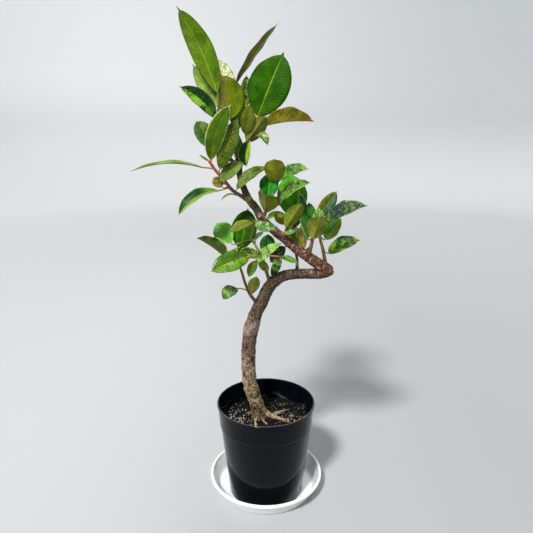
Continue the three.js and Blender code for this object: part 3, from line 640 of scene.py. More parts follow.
class Curve:
    """A centripetal Catmull-Rom curve through points, read by its share of length."""

    STEPS = 40

    def __init__(self, points):
        points = np.array(points, float)
        run = np.vstack([2 * points[0] - points[1], points, 2 * points[-1] - points[-2]])
        share = np.linspace(0, 1, self.STEPS, endpoint=False)[:, None]
        square, cube = share ** 2, share ** 3
        parts = []
        for a, b, c, d in zip(run, run[1:], run[2:], run[3:]):
            before, here, after = (max(np.linalg.norm(p) ** 0.5, 1e-4) for p in (b - a, c - b, d - c))
            leave = ((b - a) / before - (c - a) / (before + here) + (c - b) / here) * here
            arrive = ((c - b) / here - (d - b) / (here + after) + (d - c) / after) * here
            parts.append((2 * cube - 3 * square + 1) * b + (cube - 2 * square + share) * leave
                         + (3 * square - 2 * cube) * c + (cube - square) * arrive)
        self.places = np.vstack([*parts, points[-1:]])
        steps = np.linalg.norm(np.diff(self.places, axis=0), axis=1)
        self.reached = np.concatenate([[0], np.cumsum(steps)])
        self.length = self.reached[-1]
        self.knots = np.arange(len(self.places)) / self.STEPS

    def at(self, share):
        """The points at these shares of the length."""
        reached = np.asarray(share) * self.length
        columns = [np.interp(reached, self.reached, self.places[:, i]) for i in range(3)]
        return np.stack(columns, axis=-1)

    def knot(self, share):
        """Which of the given points these shares of the length lie at or between."""
        return np.interp(np.asarray(share) * self.length, self.reached, self.knots)

    def heading(self, share):
        return unit(self.at(min(share + 0.01, 1)) - self.at(max(share - 0.01, 0)))


class Shape:
    """Points, faces and painted values that build up one piece, in millimetres."""

    def __init__(self):
        self.points, self.faces, self.slots, self.values = [], [], [], {}
        self.count = 0

    def add(self, points, faces, slot=0, **values):
        """Adds faces with one material slot, or one for each, and values for their points."""
        points = np.reshape(points, (-1, 3))
        self.faces += [[corner + self.count for corner in face] for face in faces]
        self.slots += np.broadcast_to(slot, len(faces)).tolist()
        for name, value in values.items():
            value = np.asarray(value, float)
            full = np.broadcast_to(value.reshape(-1, value.shape[-1]), (len(points), value.shape[-1]))
            self.values.setdefault(name, []).append(full)
        self.points.append(points)
        self.count += len(points)

    def mesh(self, name):
        return mesh_of(name, np.vstack(self.points), self.faces)

    def piece(self, name, materials, node):
        mesh = self.mesh(name)
        for material in materials:
            mesh.materials.append(material)
        mesh.polygons.foreach_set("material_index", self.slots)
        for key, parts in self.values.items():
            paint(mesh, key, np.vstack(parts))
        placed(name, mesh, node)


def mesh_of(name, points, faces):
    """A smooth mesh from points in millimetres."""
    mesh = bpy.data.meshes.new(name)
    mesh.from_pydata((np.array(points) * MM).tolist(), [], faces)
    mesh.shade_smooth()
    return mesh


def paint(mesh, name, values):
    """Writes a value for each point: a colour, a vector or a number by how many parts it has."""
    kind, key = ATTRIBUTE_KINDS[values.shape[1]]
    attribute = mesh.attributes.new(name, kind, "POINT")
    attribute.data.foreach_set(key, values.astype(np.float32).ravel())


def linked(name, data):
    """A new object in the scene that shows this data."""
    obj = bpy.data.objects.new(name, data)
    bpy.context.scene.collection.objects.link(obj)
    return obj


def placed(name, mesh, node):
    """Makes a mesh the piece that stands for a node and rides on the object's one body."""
    mesh.update()
    obj = linked(name, mesh)
    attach(obj, "root")
    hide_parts(node)


def modified(mesh, kind, **settings):
    """What a modifier makes of a mesh, with no material on it yet."""
    source = linked("source", mesh)
    modifier = source.modifiers.new("change", kind)
    for key, value in settings.items():
        setattr(modifier, key, value)
    graph = bpy.context.evaluated_depsgraph_get()
    result = bpy.data.meshes.new_from_object(source.evaluated_get(graph))
    bpy.data.objects.remove(source)
    result.materials.clear()
    result.shade_smooth()
    return result


def ring_faces(rings, sides):
    """Quads between rings of points, and one face across each end."""
    faces = []
    for i in range(rings - 1):
        for k in range(sides):
            a, b = i * sides + k, i * sides + (k + 1) % sides
            faces.append((a, b, b + sides, a + sides))
    faces.append(tuple(reversed(range(sides))))
    faces.append(tuple(range((rings - 1) * sides, rings * sides)))
    return faces


def tube(places, radii, sides):
    """The points and faces of a round bar through places, with its ends rounded off."""
    tangents = unit(np.gradient(places, axis=0))
    turn = np.radians(END_TURNS)
    first = places[0] - tangents[0] * radii[0] * np.sin(turn)[:, None] * END_FLATNESS
    last = places[-1] + tangents[-1] * radii[-1] * np.sin(turn[::-1])[:, None] * END_FLATNESS
    places = np.vstack([first, places, last])
    radii = np.concatenate([radii[0] * np.cos(turn), radii, radii[-1] * np.cos(turn[::-1])])
    tangents = np.vstack([[tangents[0]] * len(turn), tangents, [tangents[-1]] * len(turn)])
    normal = squared(np.array([0.31, 0.77, 0.55]), tangents[0])
    rings = []
    for place, tangent, radius in zip(places, tangents, radii):
        normal = squared(normal, tangent)
        rings.append(place + radius * circle(sides) @ np.array([normal, np.cross(tangent, normal)]))
    return np.array(rings), ring_faces(len(rings), sides)


def softened(outline, bevel, steps=4):
    """An outline with each inner corner rounded off over a short way on both sides."""
    points = [np.array(p, float) for p in outline]
    soft = [points[0]]
    for before, corner, after in zip(points, points[1:], points[2:]):
        ways = []
        for other in (before, after):
            reach = min(bevel, 0.45 * np.linalg.norm(other - corner))
            ways.append(corner + unit(other - corner) * reach)
        for share in np.linspace(0, 1, steps + 1):
            first = ways[0] + (corner - ways[0]) * share
            second = corner + (ways[1] - corner) * share
            soft.append(first + (second - first) * share)
    return [*soft, points[-1]]


def lathed(outline, sides):
    """The points and faces of an outline turned about the Z axis, which its first point is on."""
    points = [(0, 0, outline[0][1])]
    points += [(radius * c, radius * s, z) for radius, z in outline[1:] for c, s in circle(sides)]
    faces = []
    for k in range(sides):
        after = (k + 1) % sides
        faces.append((0, 1 + after, 1 + k))
        for start in range(1, (len(outline) - 2) * sides, sides):
            a, b = start + k, start + after
            faces.append((a, b, b + sides, a + sides))
    return points, faces


def turned(outline):
    """A closed mesh turned about the Z axis from an outline with both its ends on the axis."""
    points, faces = lathed(outline[:-1], ROUND_SIDES)
    end, last = len(points) - ROUND_SIDES, len(points)
    faces += [(end + k, end + (k + 1) % ROUND_SIDES, last) for k in range(ROUND_SIDES)]
    return mesh_of("turned", [*points, (0, 0, outline[-1][1])], faces)


# Blades and petioles


def outline_share(t):
    """Half the blade's width as a share of its widest place, with a narrow drip tip."""
    body = np.sin(np.pi * np.minimum(t / DRIP_TIP_START, 1)) ** BLADE_FULLNESS
    tip = DRIP_TIP_SHARE * np.clip((1 - t) / (1 - DRIP_TIP_START), 0, 1) ** 0.5 * (t > 0.5)
    return np.maximum(body, np.maximum(tip, BLADE_FOOT_SHARE * (t < 0.5)))


def colours_of(face, t, across, half):
    """The painted tone over a face. Across runs from -1 at its left edge to 1 at its right."""
    tone = mixed(linear(face.tone), linear(face.right or face.tone), smooth_step(-0.05, 0.05, across))
    if face.foot:
        tone = mixed(tone, linear(face.foot), 1 - smooth_step(0.05, 0.4, t + 0 * across))
    if face.tip:
        tone = mixed(tone, linear(face.tip), smooth_step(0.72, 0.98, t + 0 * across))
    # The margin: dark edge colours, and the tone darkened to 0.6 where no edge colour is named, are partly
    # the leaf's own edge and partly painted shade that sets the leaves apart; pale edge colours are the
    # leaf's own margin
    rim = linear(face.edge) if face.edge else 0.6 * tone
    tone = mixed(tone, rim, 1 - smooth_step(0.4, 1.6, (1 - np.abs(across)) * half))
    rib_width = (1 - 0.75 * t) * np.minimum(1, half.max() / 15)
    rib = hump(across * half, rib_width) * smooth_step(0, 0.02, 1 - t)
    return mixed(tone, linear(face.rib), 0.9 * rib)


def grid_faces(rows, columns, start=0):
    corners = ((start + i * columns + k) for i in range(rows - 1) for k in range(columns - 1))
    return [(a, a + 1, a + columns + 1, a + columns) for a in corners]


def rim_faces(rows, columns):
    """Faces that close the edge between an upper and an under grid of the same size."""
    size = rows * columns
    around = list(range(columns))
    around += [i * columns + columns - 1 for i in range(1, rows)]
    around += [(rows - 1) * columns + k for k in range(columns - 2, -1, -1)]
    around += [i * columns for i in range(rows - 2, 0, -1)]
    return [(b, a, a + size, b + size) for a, b in zip(around, around[1:] + around[:1])]


def blade_rise(rng, t, s, half, width, fold):
    """How far a blade stands above its midrib: folded up, bulging, and waved along its edges."""
    flat = math.sqrt(FOLD_ROUNDNESS)
    valley = (np.sqrt(s * s + FOLD_ROUNDNESS) - flat) / (math.sqrt(1 + FOLD_ROUNDNESS) - flat)
    bulge = BULGE_SHARE * (np.sin(np.pi * np.abs(s)) - np.abs(s) ** 5)
    left, right = (rng.uniform(0, 6.28) for _ in range(2))
    turns = rng.uniform(2.2, 3.4)
    wave = np.where(s < 0, np.sin(6.28 * turns * t + left), np.sin(5.6 * turns * t + right))
    wave = WAVE_SHARE * width * wave * s * s * np.sin(np.pi * t) ** 0.5
    return half * (valley * math.sin(fold) + bulge) + wave


def painted_face(rng, face, t, s, half, place):
    """The values that a face's points carry for its material."""
    tone = colours_of(face, t, s + 0 * t, half + 0 * s) * rng.uniform(0.94, 1.06)
    patch = np.broadcast_to(linear(face.patch), tone.shape)
    detail = np.broadcast_to([face.veins, face.speckle, face.gloss], place.shape)
    return {"tone": with_alpha(tone), "patch": with_alpha(patch, face.amount),
            "place": place, "detail": detail}


def add_leaf(shape, stem, row, faces, seed):
    """A blade with its midrib, folded and waved, and the petiole that carries it."""
    _, at, foot, tip, width, facing, arch, bow, fold = row
    rng = random.Random(seed)
    foot, tip = np.array(foot, float), np.array(tip, float)
    length = np.linalg.norm(tip - foot)
    along = (tip - foot) / length
    up = squared(np.array(facing, float), along)
    side = np.cross(along, up)

    # t runs along the blade from its foot, and s across it from the left edge to the right
    even = np.linspace(0, 1, BLADE_STEPS + 1)
    t = (0.5 * even + 0.25 * (1 - np.cos(np.pi * even)))[:, None]
    spread = np.linspace(-1, 1, 2 * BLADE_HALF_STEPS + 1)
    s = (np.sign(spread) * np.abs(spread) ** BLADE_CROWDING)[None, :]
    sway = 4 * (up * arch + side * bow)
    heading = unit(along + sway * (1 - 2 * t))
    rib = foot + along * length * t + sway * length * t * (1 - t)
    across = squared(side[None, :], heading)
    normal = np.cross(across, heading)
    half = width / 2 * outline_share(t)
    fold = math.radians(fold)
    reach = s * half * math.cos(fold)
    rise = blade_rise(rng, t, s, half, width, fold)
    middle = rib[:, None] + reach[..., None] * across[:, None] + rise[..., None] * normal[:, None]
    out = unit(np.cross(np.gradient(middle, axis=1), np.gradient(middle, axis=0)))

    from_rib = s * half
    petiole_radius = min(PETIOLE_RADIUS, width * SMALL_PETIOLE_SHARE)
    thin = 1 - 0.5 * np.abs(s) ** 6
    groove = GROOVE_DEPTH * hump(from_rib, GROOVE_WIDTH)
    ridge = petiole_radius * (0.9 * (1 - t) ** 0.7 + 0.12)
    ridge = ridge * hump(from_rib, 0.75 * ridge + 0.25)
    upper = middle + out * ((BLADE_THICKNESS / 2 - groove) * thin)[..., None]
    under = middle - out * (BLADE_THICKNESS / 2 * thin + ridge)[..., None]

    front, back = faces if isinstance(faces, tuple) else (faces, None)
    front_is_upper = facing[1] < 0
    upper_face = (front if front_is_upper else back) or UPPER
    under_face = (back if front_is_upper else front) or UNDER
    rows, columns = from_rib.shape
    place = np.stack([t * length - VEIN_SLANT * np.abs(from_rib), from_rib,
                      np.full(from_rib.shape, rng.uniform(0, 900))], axis=-1)
    both = [painted_face(rng, upper_face, t, s, half, place),
            painted_face(rng, under_face, t, -s, half, place)]
    values = {key: np.concatenate([part[key] for part in both]) for key in both[0]}
    top = grid_faces(rows, columns)
    bottom = [face[::-1] for face in grid_faces(rows, columns, rows * columns)]
    bottom += rim_faces(rows, columns)
    slots = [SURFACE_SLOT] * len(top) + [UNDER_SLOT] * len(bottom)
    shape.add(np.concatenate([upper, under]), top + bottom, slots, **values)

    sunk = rib[3:6] - normal[3:6] * petiole_radius * PETIOLE_SINK
    tone = linear((front or UNDER).petiole) * rng.uniform(0.92, 1.08)
    add_petiole(shape, stem, at, foot, heading[0], sunk, petiole_radius, tone, seed)


def add_petiole(shape, stem, at, foot, heading, sunk, radius, tone, seed):
    """A leaf stalk that bends from the stem to the blade's foot and runs on under its midrib."""
    start = stem.at(at)
    pull = np.linalg.norm(foot - start) * PETIOLE_REACH
    first, second = start + stem.heading(at) * pull, foot - heading * pull
    u = np.linspace(0, 1, 15)[:, None]
    bend = ((1 - u) ** 3 * start + 3 * u * (1 - u) ** 2 * first
            + 3 * u * u * (1 - u) * second + u ** 3 * foot)
    swollen = 1.25 - 0.25 * smooth_step(0, 0.3, u[:, 0])
    radii = radius * np.concatenate([swollen, [0.95, 0.8, 0.55]])
    points, faces = tube(np.vstack([bend, sunk]), radii, PETIOLE_SIDES)
    add_bark(shape, points, faces, tone, np.array([0, 0, seed_number(seed)]))


def add_bark(shape, points, faces, tone, place):
    shape.add(points, faces, STEM_SLOT, tone=with_alpha(tone), patch=with_alpha(tone),
              place=place, detail=NO_DETAIL)


def add_stem(shape, name, shoot):
    """A side shoot's stem, swollen at its foot and ringed where leaves grow, and its end bud."""
    stem = Curve(shoot["stem"])
    share = np.linspace(0, 1, STEM_RINGS)
    foot, top = shoot["radii"]
    radii = (foot + (top - foot) * share) * (1 + 0.3 * hump(share, 0.07))
    for row in shoot["leaves"]:
        radii = radii + 0.35 * hump(share - row[1], 0.02)
    points, faces = tube(stem.at(share), radii, STEM_SIDES)
    low, high = (linear(tone) for tone in STEM_TONES[name])
    rings = np.clip((np.arange(len(points)) - len(END_TURNS)) / (STEM_RINGS - 1), 0, 1)
    tone = mixed(low, high, smooth_step(0.1, 0.9, rings))
    place = np.zeros(points.shape)
    place[..., 0] = (rings * stem.length)[:, None]
    place[..., 1] = np.arange(STEM_SIDES) / STEM_SIDES * 6.28 * foot
    place[..., 2] = seed_number(name)
    add_bark(shape, points, faces, np.repeat(tone, STEM_SIDES, axis=0), place)

    share = np.linspace(0, 1, 9)
    places = stem.at(1) + stem.heading(1) * (share * BUD_LENGTH - 1)[:, None]
    full = 0.75 + 0.45 * np.sin(np.pi * np.minimum(share * 1.3, 1))
    points, faces = tube(places, top * full * (1 - share ** 2) + 0.2, PETIOLE_SIDES)
    add_bark(shape, points, faces, high, points)
    return stem


def make_shoots(materials):
    for name, shoot in SHOOTS.items():
        shape = Shape()
        stem = add_stem(shape, name, shoot)
        for row in shoot["leaves"]:
            add_leaf(shape, stem, row, PAINT[name].get(row[0]), f"{name} {row[0]}")
        shape.piece(f"{name}_leaves", materials, name)


# Materials


class Paint:
    """A material with a short way to add and join its nodes."""

    def __init__(self, name):
        self.material = bpy.data.materials.new(name)
        self.material.use_nodes = True
        self.tree = self.material.node_tree
        self.tree.nodes.clear()

    def node(self, kind, sockets, **settings):
        node = self.tree.nodes.new(f"ShaderNode{kind}")
        for key, value in settings.items():
            setattr(node, key, value)
        for key, value in sockets.items():
            if isinstance(value, bpy.types.NodeSocket):
                self.tree.links.new(value, node.inputs[key])
            else:
                node.inputs[key].default_value = value
        return node

    def attribute(self, name, output="Vector"):
        return self.node("Attribute", {}, attribute_name=name).outputs[output]

    def place(self):
        """Where the surface is, in metres."""
        return self.node("TexCoord", {}).outputs["Object"]

    def parts(self, vector):
        return self.node("SeparateXYZ", {0: vector}).outputs

    def math(self, operation, *values):
        return self.node("Math", dict(enumerate(values)), operation=operation).outputs[0]

    def times(self, first, second):
        return self.math("MULTIPLY", first, second)

    def times_plus(self, value, factor, more):
        return self.math("MULTIPLY_ADD", value, factor, more)

    def noise(self, vector, scale, detail=2.0, roughness=0.5):
        sockets = {"Vector": vector, "Scale": scale, "Detail": detail, "Roughness": roughness}
        return self.node("TexNoise", sockets).outputs[0]

    def ramp(self, value, low, high, start=0.0, end=1.0):
        """Maps a value from one range onto another, held at both ends."""
        sockets = {"Value": value, "From Min": low, "From Max": high, "To Min": start, "To Max": end}
        return self.node("MapRange", sockets, interpolation_type="SMOOTHSTEP").outputs[0]

    def length(self, vector):
        return self.node("VectorMath", {0: vector}, operation="LENGTH").outputs["Value"]

    def stretched(self, vector, scale):
        return self.node("VectorMath", {0: vector, 1: scale}, operation="MULTIPLY").outputs[0]

    def scaled(self, vector, scale):
        return self.node("VectorMath", {0: vector, "Scale": scale}, operation="SCALE").outputs[0]

    def mix(self, share, first, second):
        first, second = ((*c, 1.0) if isinstance(c, tuple) else c for c in (first, second))
        return self.node("Mix", {0: share, 6: first, 7: second}, data_type="RGBA").outputs[2]

    def tint(self, colour, low, high, share):
        """A colour made darker or lighter by a factor between two numbers."""
        return self.scaled(colour, self.ramp(share, 0.25, 0.75, low, high))

    def bump(self, height, strength, distance):
        sockets = {"Height": height, "Strength": strength, "Distance": distance * MM}
        return self.node("Bump", sockets).outputs[0]

    def finish(self, **sockets):
        """Ends the material in a surface with these values on its sockets, and returns it."""
        names = {"specular": "Specular IOR Level"}
        sockets = {names.get(key, key.replace("_", " ").title()): value for key, value in sockets.items()}
        surface = self.node("BsdfPrincipled", sockets)
        self.node("OutputMaterial", {"Surface": surface.outputs[0]})
        return self.material


def leaf_material(name, dull):
    """Marbled and speckled green over the painted tone, with side veins."""
    paint = Paint(name)
    place = paint.attribute("place")
    u, v, _ = paint.parts(place)
    veins, speckle, gloss = paint.parts(paint.attribute("detail"))

    drawn_out = paint.stretched(place, (1.0, 0.5, 1.0))
    coarse, fine = paint.noise(drawn_out, 0.07), paint.noise(drawn_out, 0.32, 3.0, 0.6)
    marbling = paint.times_plus(fine, 0.8, coarse)
    limit = paint.times_plus(paint.attribute("patch", "Alpha"), -0.8, 1.3)
    share = paint.ramp(paint.math("SUBTRACT", marbling, limit), -0.03, 0.03)
    colour = paint.mix(share, paint.attribute("tone", "Color"), paint.attribute("patch", "Color"))
    colour = paint.tint(colour, 0.62, 1.2, paint.noise(place, 0.04, 3.0))
    streaks = paint.noise(paint.stretched(place, (1.0, 0.35, 1.0)), 0.5, 3.0)
    colour = paint.tint(colour, 0.68, 1.24, streaks)

    dots = paint.times(paint.ramp(paint.noise(place, 0.42, 1.0), 0.55, 0.6), speckle)
    colour = paint.mix(dots, colour, (0.02, 0.05, 0.012))
    flecks = paint.times(paint.ramp(paint.noise(place, 0.28), 0.57, 0.61), paint.times(speckle, 0.7))
    colour = paint.mix(flecks, colour, (0.42, 0.58, 0.22))

    lane = paint.math("PINGPONG", paint.times_plus(paint.noise(place, 0.12), 5.0, u), 3.2)
    off_rib = paint.ramp(paint.math("ABSOLUTE", v), 1.0, 4.0)
    line = paint.times(paint.times(paint.ramp(lane, 0.0, 0.9, 1.0, 0.0), off_rib), veins)
    colour = paint.mix(line, colour, paint.scaled(colour, 1.6))
    colour = paint.stretched(colour, LEAF_FILTER)

    relief = paint.times_plus(line, -0.4, paint.noise(place, 0.4, 3.0))
    uneven = paint.times_plus(paint.noise(place, 0.09, 3.0), 0.2, dull - 0.1)
    return paint.finish(
        base_color=colour,
        roughness=paint.times_plus(gloss, -0.3, uneven),
        specular=paint.times_plus(gloss, 0.35, 0.03),
        normal=paint.bump(relief, 0.3, 0.6),
    )


def stem_material():
    """Young bark: the painted tone with fine streaks and pale raised spots."""
    paint = Paint("stem")
    place = paint.attribute("place")
    streaks = paint.noise(paint.stretched(place, (0.5, 2.0, 1.0)), 0.5, 3.0)
    colour = paint.tint(paint.attribute("tone", "Color"), 0.78, 1.2, streaks)
    spots = paint.ramp(paint.noise(place, 0.9, 1.0), 0.62, 0.68)
    colour = paint.mix(paint.times(spots, 0.5), colour, (0.42, 0.33, 0.2))
    relief = paint.times_plus(streaks, 0.6, spots)
    return paint.finish(base_color=colour, roughness=0.5, normal=paint.bump(relief, 0.35, 0.4))


def bark_material():
    """The painted tone, finely wrinkled across, speckled with dark pits and pale flakes, and darkened with
    painted shade where the bark sinks in.
    """
    paint = Paint("bark")
    place = paint.attribute("place")
    grain = paint.attribute("grain")
    wrinkles = paint.noise(grain, 0.22, 4.0, 0.75)
    specks = paint.noise(grain, 0.13, 5.0, 0.85)
    colour = paint.tint(paint.attribute("tone", "Color"), 0.55, 1.5, paint.noise(place, 0.11, 4.0, 0.6))
    colour = paint.tint(colour, 0.1, 2.1, wrinkles)
    dark = paint.ramp(specks, 0.49, 0.41)
    colour = paint.mix(paint.times(dark, 0.7), colour, (0.022, 0.013, 0.007))
    # Painted shade: the deeper the bark sinks in, the darker it is painted, over the dark of the pits
    hollow_shade = paint.ramp(paint.attribute("swell", "Fac"), -0.35, -1.1)
    colour = paint.mix(paint.times(hollow_shade, 0.85), colour, (0.02, 0.012, 0.006))
    flakes = paint.ramp(paint.noise(place, 0.27, 3.0, 0.7), 0.57, 0.62)
    colour = paint.mix(paint.times(flakes, 0.6), colour, (0.42, 0.35, 0.28))
    relief = paint.times_plus(wrinkles, 0.6, specks)
    return paint.finish(base_color=colour, roughness=0.9, specular=0.18,
                        normal=paint.bump(relief, 0.9, 2.2))


def earth_material():
    """Dark peat, or a granule's own tone, with a crumbly surface."""
    paint = Paint("potting_earth")
    crumbs = paint.noise(paint.attribute("place"), 0.6, 5.0, 0.7)
    colour = paint.tint(paint.attribute("tone", "Color"), 0.6, 1.45, crumbs)
    return paint.finish(base_color=colour, roughness=0.95, specular=0.15,
                        normal=paint.bump(crumbs, 0.9, 1.6))


def black_plastic():
    """Glossy black with a trace of dust, a painted highlight round the top of the rim, and smears of soil
    inside above the bed.
    """
    paint = Paint("black_plastic")
    place = paint.place()
    height = paint.parts(place)[2]
    dust = paint.noise(paint.stretched(place, (1.0, 1.0, 0.35)), 45.0, 5.0, 0.6)
    share = paint.times(paint.ramp(dust, 0.42, 0.72), paint.ramp(height, 0.0, 0.2, 0.45, 0.12))
    colour = paint.mix(share, (0.0012, 0.0026, 0.0042), (0.012, 0.014, 0.016))
    # Painted highlight: the top of the lip is painted pale grey, as if it caught the light
    lip_highlight = paint.ramp(height, 0.2535, 0.2547)
    colour = paint.mix(paint.times(lip_highlight, 0.8), colour, (0.075, 0.08, 0.088))
    inside = paint.ramp(paint.length(paint.stretched(place, (1.0, 1.0, 0.0))), 0.1188, 0.1184)
    above = paint.times(paint.ramp(height, 0.198, 0.2), paint.ramp(height, 0.204, 0.222, 1.0, 0.0))
    smears = paint.ramp(paint.noise(paint.stretched(place, (1.0, 1.0, 2.0)), 30.0, 4.0, 0.6), 0.52, 0.66)
    smears = paint.times(smears, paint.times(inside, above))
    colour = paint.mix(paint.times(smears, 0.8), colour, (0.085, 0.08, 0.095))
    shine = paint.times_plus(smears, 0.5, paint.ramp(dust, 0.3, 0.7, 0.09, 0.16))
    grain = paint.bump(paint.noise(place, 900.0), 0.06, 0.15)
    return paint.finish(base_color=colour, roughness=shine, specular=0.14, normal=grain)


def white_plastic():
    """Glossy white plastic with faint water stains on its floor."""
    paint = Paint("white_plastic")
    place = paint.place()
    stains = paint.noise(place, 22.0, 5.0, 0.65)
    low = paint.ramp(paint.parts(place)[2], 0.004, 0.03, 1.0, 0.15)
    share = paint.times(paint.ramp(stains, 0.5, 0.72), low)
    colour = paint.mix(share, (0.87, 0.89, 0.9), (0.76, 0.76, 0.74))
    shine = paint.ramp(stains, 0.3, 0.7, 0.16, 0.3)
    return paint.finish(base_color=colour, roughness=shine, specular=0.5, coat_weight=0.3,
                        coat_roughness=0.08)


def floor_material():
    """Matt and pale, with painted shade that darkens it to the right and painted light that makes it
    lighter up the wall on the left.
    """
    paint = Paint("floor")
    place = paint.place()
    aside, _, height = paint.parts(place)
    # Painted light and shade: lighter on the left and darker on the right, near and far, and the wall much
    # lighter on the left
    near = paint.mix(paint.ramp(aside, -0.8, 0.8), (0.54, 0.555, 0.57), (0.4, 0.41, 0.42))
    far = paint.mix(paint.ramp(aside, -3.0, 3.0), (0.5, 0.51, 0.52), (0.44, 0.45, 0.46))
    wall = paint.mix(paint.ramp(aside, -3.0, 3.0), (0.78, 0.79, 0.8), (0.44, 0.46, 0.48))
    colour = paint.mix(paint.ramp(paint.length(place), 0.4, 4.0), near, far)
    colour = paint.mix(paint.ramp(height, 0.1, 1.6), colour, wall)
    return paint.finish(base_color=colour, roughness=1.0, specular=0.0)


# Trunk and roots


def limb_samples(rows):
    """A limb's rings of points, and the tone, the radius and the place along at each point."""
    curve = Curve([row[:3] for row in rows])
    share = np.linspace(0, 1, max(int(curve.length / LIMB_STEP), 8))
    known = np.array([[*linear(row[4]), row[3]] for row in rows])
    columns = [np.interp(curve.knot(share), range(len(rows)), column) for column in known.T]
    facts = np.column_stack([*columns, share * curve.length])
    points, faces = tube(curve.at(share), facts[:, 3], LIMB_SIDES)
    rings = np.clip(np.arange(len(points)) - len(END_TURNS), 0, len(share) - 1)
    return points, faces, np.repeat(facts[rings], LIMB_SIDES, axis=0)


def nearest_values(points, known, values):
    """For each point, the values of the known points around it, the nearest counting most."""
    tree = kdtree.KDTree(len(known))
    for i, place in enumerate(known):
        tree.insert(place, i)
    tree.balance()
    result = np.empty((len(points), values.shape[1]))
    for i, place in enumerate(points):
        found = tree.find_n(place, 4)
        weights = np.array([1 / (distance + 0.2) for _, _, distance in found])
        result[i] = weights @ values[[index for _, index, _ in found]] / weights.sum()
    return result


def octaves(points, size, count=3):
    """Fractal noise between about -1 and 1 with lumps of a size in millimetres."""
    return np.array([noise.fractal(Vector(p) / size, 1.0, 2.0, count) for p in points])


def bark_marks(points, along, radius):
    """How strongly each kind of mark shows at each point. Old bark low down is pitted, and the
    younger bark above the elbow is ringed by leaf scars."""
    height = points[:, 2]
    fine = octaves(points + 300, 5)
    old = (1 - smooth_step(*PITTED_TO, height + 5 * fine)) * smooth_step(11, 15, radius)
    pits = smooth_step(0.16, 0.42, octaves(points * [1, 1, 1.8] + 50, 5.5))
    wander = 4 * octaves(points + 700, 26)
    ring = hump(((along + wander) / SCAR_SPACING) % 1 - 0.5, 0.07)
    ring = ring * smooth_step(*SCARS_FROM, height)
    return SimpleNamespace(
        lumps=octaves(points, 20),
        fine=fine,
        crumbs=octaves(points * [1, 1, 1.7] + 900, 2.6, 2),
        old=old,
        pits=pits * (0.3 + 0.7 * old),
        ring=ring * smooth_step(-0.1, 0.35, octaves(points + 1100, 13)),
        ledge=smooth_step(*LEDGE_TO, height + 4 * fine) * smooth_step(*LEDGE_FROM, height),
    )


def bark_swell(marks, radius):
    """How far the bark stands out from the limb's even skin."""
    thick = np.clip(radius / 18, 0.25, 1)
    rough = 1.5 * marks.lumps + 0.7 * marks.fine - 1.9 * marks.pits
    return rough * thick + 0.45 * marks.crumbs + 0.6 * marks.ring + 1.3 * marks.ledge


def bark_tone(points, marks, tone):
    """The tones along the limbs with the marks and spots painted over them."""
    level = points[:, 2] + 5 * marks.fine
    band = smooth_step(*BAND_FROM, level) * (1 - smooth_step(*BAND_TO, level))
    for share, colour in (
        (0.6 * band, "#574838"),
        (0.5 * marks.ledge, "#8f7a72"),
        (0.85 * marks.ring, "#bba398"),
        (0.45 * marks.old * smooth_step(0.1, 0.5, marks.lumps), "#b39a6c"),
        (0.4 * marks.old * smooth_step(0.0, 0.5, -marks.lumps), "#43331f"),
        (0.8 * marks.pits, "#241809"),
    ):
        tone = mixed(tone, linear(colour), share)
    for middle, reach, colour in BARK_SPOTS:
        away = np.linalg.norm(points - np.array(middle), axis=1) + 3 * marks.fine
        tone = mixed(tone, linear(colour), 0.85 * (1 - smooth_step(0.5 * reach, reach, away)))
    return tone


def make_trunk(material):
    """The limbs and roots joined into one skin, then lumpy, pitted and ringed."""
    shape = Shape()
    facts = []
    for rows in (LOWER_TRUNK, UPPER_TRUNK, *ROOTS):
        points, faces, values = limb_samples(rows)
        shape.add(points, faces)
        facts.append(values)
    known = np.vstack(shape.points)
    mesh = modified(shape.mesh("rough"), "REMESH", mode="VOXEL", voxel_size=BARK_VOXEL * MM)
    mesh.materials.append(material)
    points = read(mesh, "vertices", "co") / MM
    facts = nearest_values(points, known, np.vstack(facts))
    tone, radius, along = facts[:, :3], facts[:, 3], facts[:, 4]
    marks = bark_marks(points, along, radius)
    swell = bark_swell(marks, radius)
    points += read(mesh, "vertex_normals", "vector") * np.minimum(swell, BARK_SWELL_LIMIT)[:, None]
    paint(mesh, "tone", with_alpha(bark_tone(points, marks, tone)))
    paint(mesh, "place", points)
    paint(mesh, "grain", points + GRAIN_SLANT * along[:, None])
    paint(mesh, "swell", swell[:, None])
    mesh.vertices.foreach_set("co", (points * MM).astype(np.float32).ravel())
    placed("bark", mesh, "trunk")


def read(mesh, group, name):
    """A vector of every item in one of a mesh's groups."""
    items = getattr(mesh, group)
    values = np.empty(len(items) * 3, np.float32)
    items.foreach_get(name, values)
    return values.reshape(-1, 3).astype(float)


# Pot, saucer and soil


def make_saucer(material):
    """A dish with a lip round its rim that has a groove on top."""
    rim, top = SAUCER_RIM_RADIUS, SAUCER_HEIGHT
    neck = rim - 4
    mesh = turned(softened([
        (0, 0),
        (SAUCER_FOOT_RADIUS, 0),
        (SAUCER_FOOT_RADIUS + SAUCER_WALL, SAUCER_WALL),
        (neck, top - 7.5),
        (rim, top - 6),
        (rim, top - 1.5),
        (rim - 1.5, top),
        (rim - 4, top),
        (rim - 4.6, top - 1),
        (rim - 5.6, top - 1),
        (rim - 6, top),
        (rim - 7, top),
        (neck - SAUCER_WALL, top - 4.5),
        (SAUCER_FOOT_RADIUS + 1.5, SAUCER_FLOOR + 4.5),
        (SAUCER_FOOT_RADIUS - 3, SAUCER_FLOOR),
        (0, SAUCER_FLOOR),
    ], SAUCER_BEVEL))
    mesh.transform(Matrix.Translation((0, SAUCER_SET_BACK * MM, 0)))
    mesh.materials.append(material)
    placed("saucer_shell", mesh, "saucer")


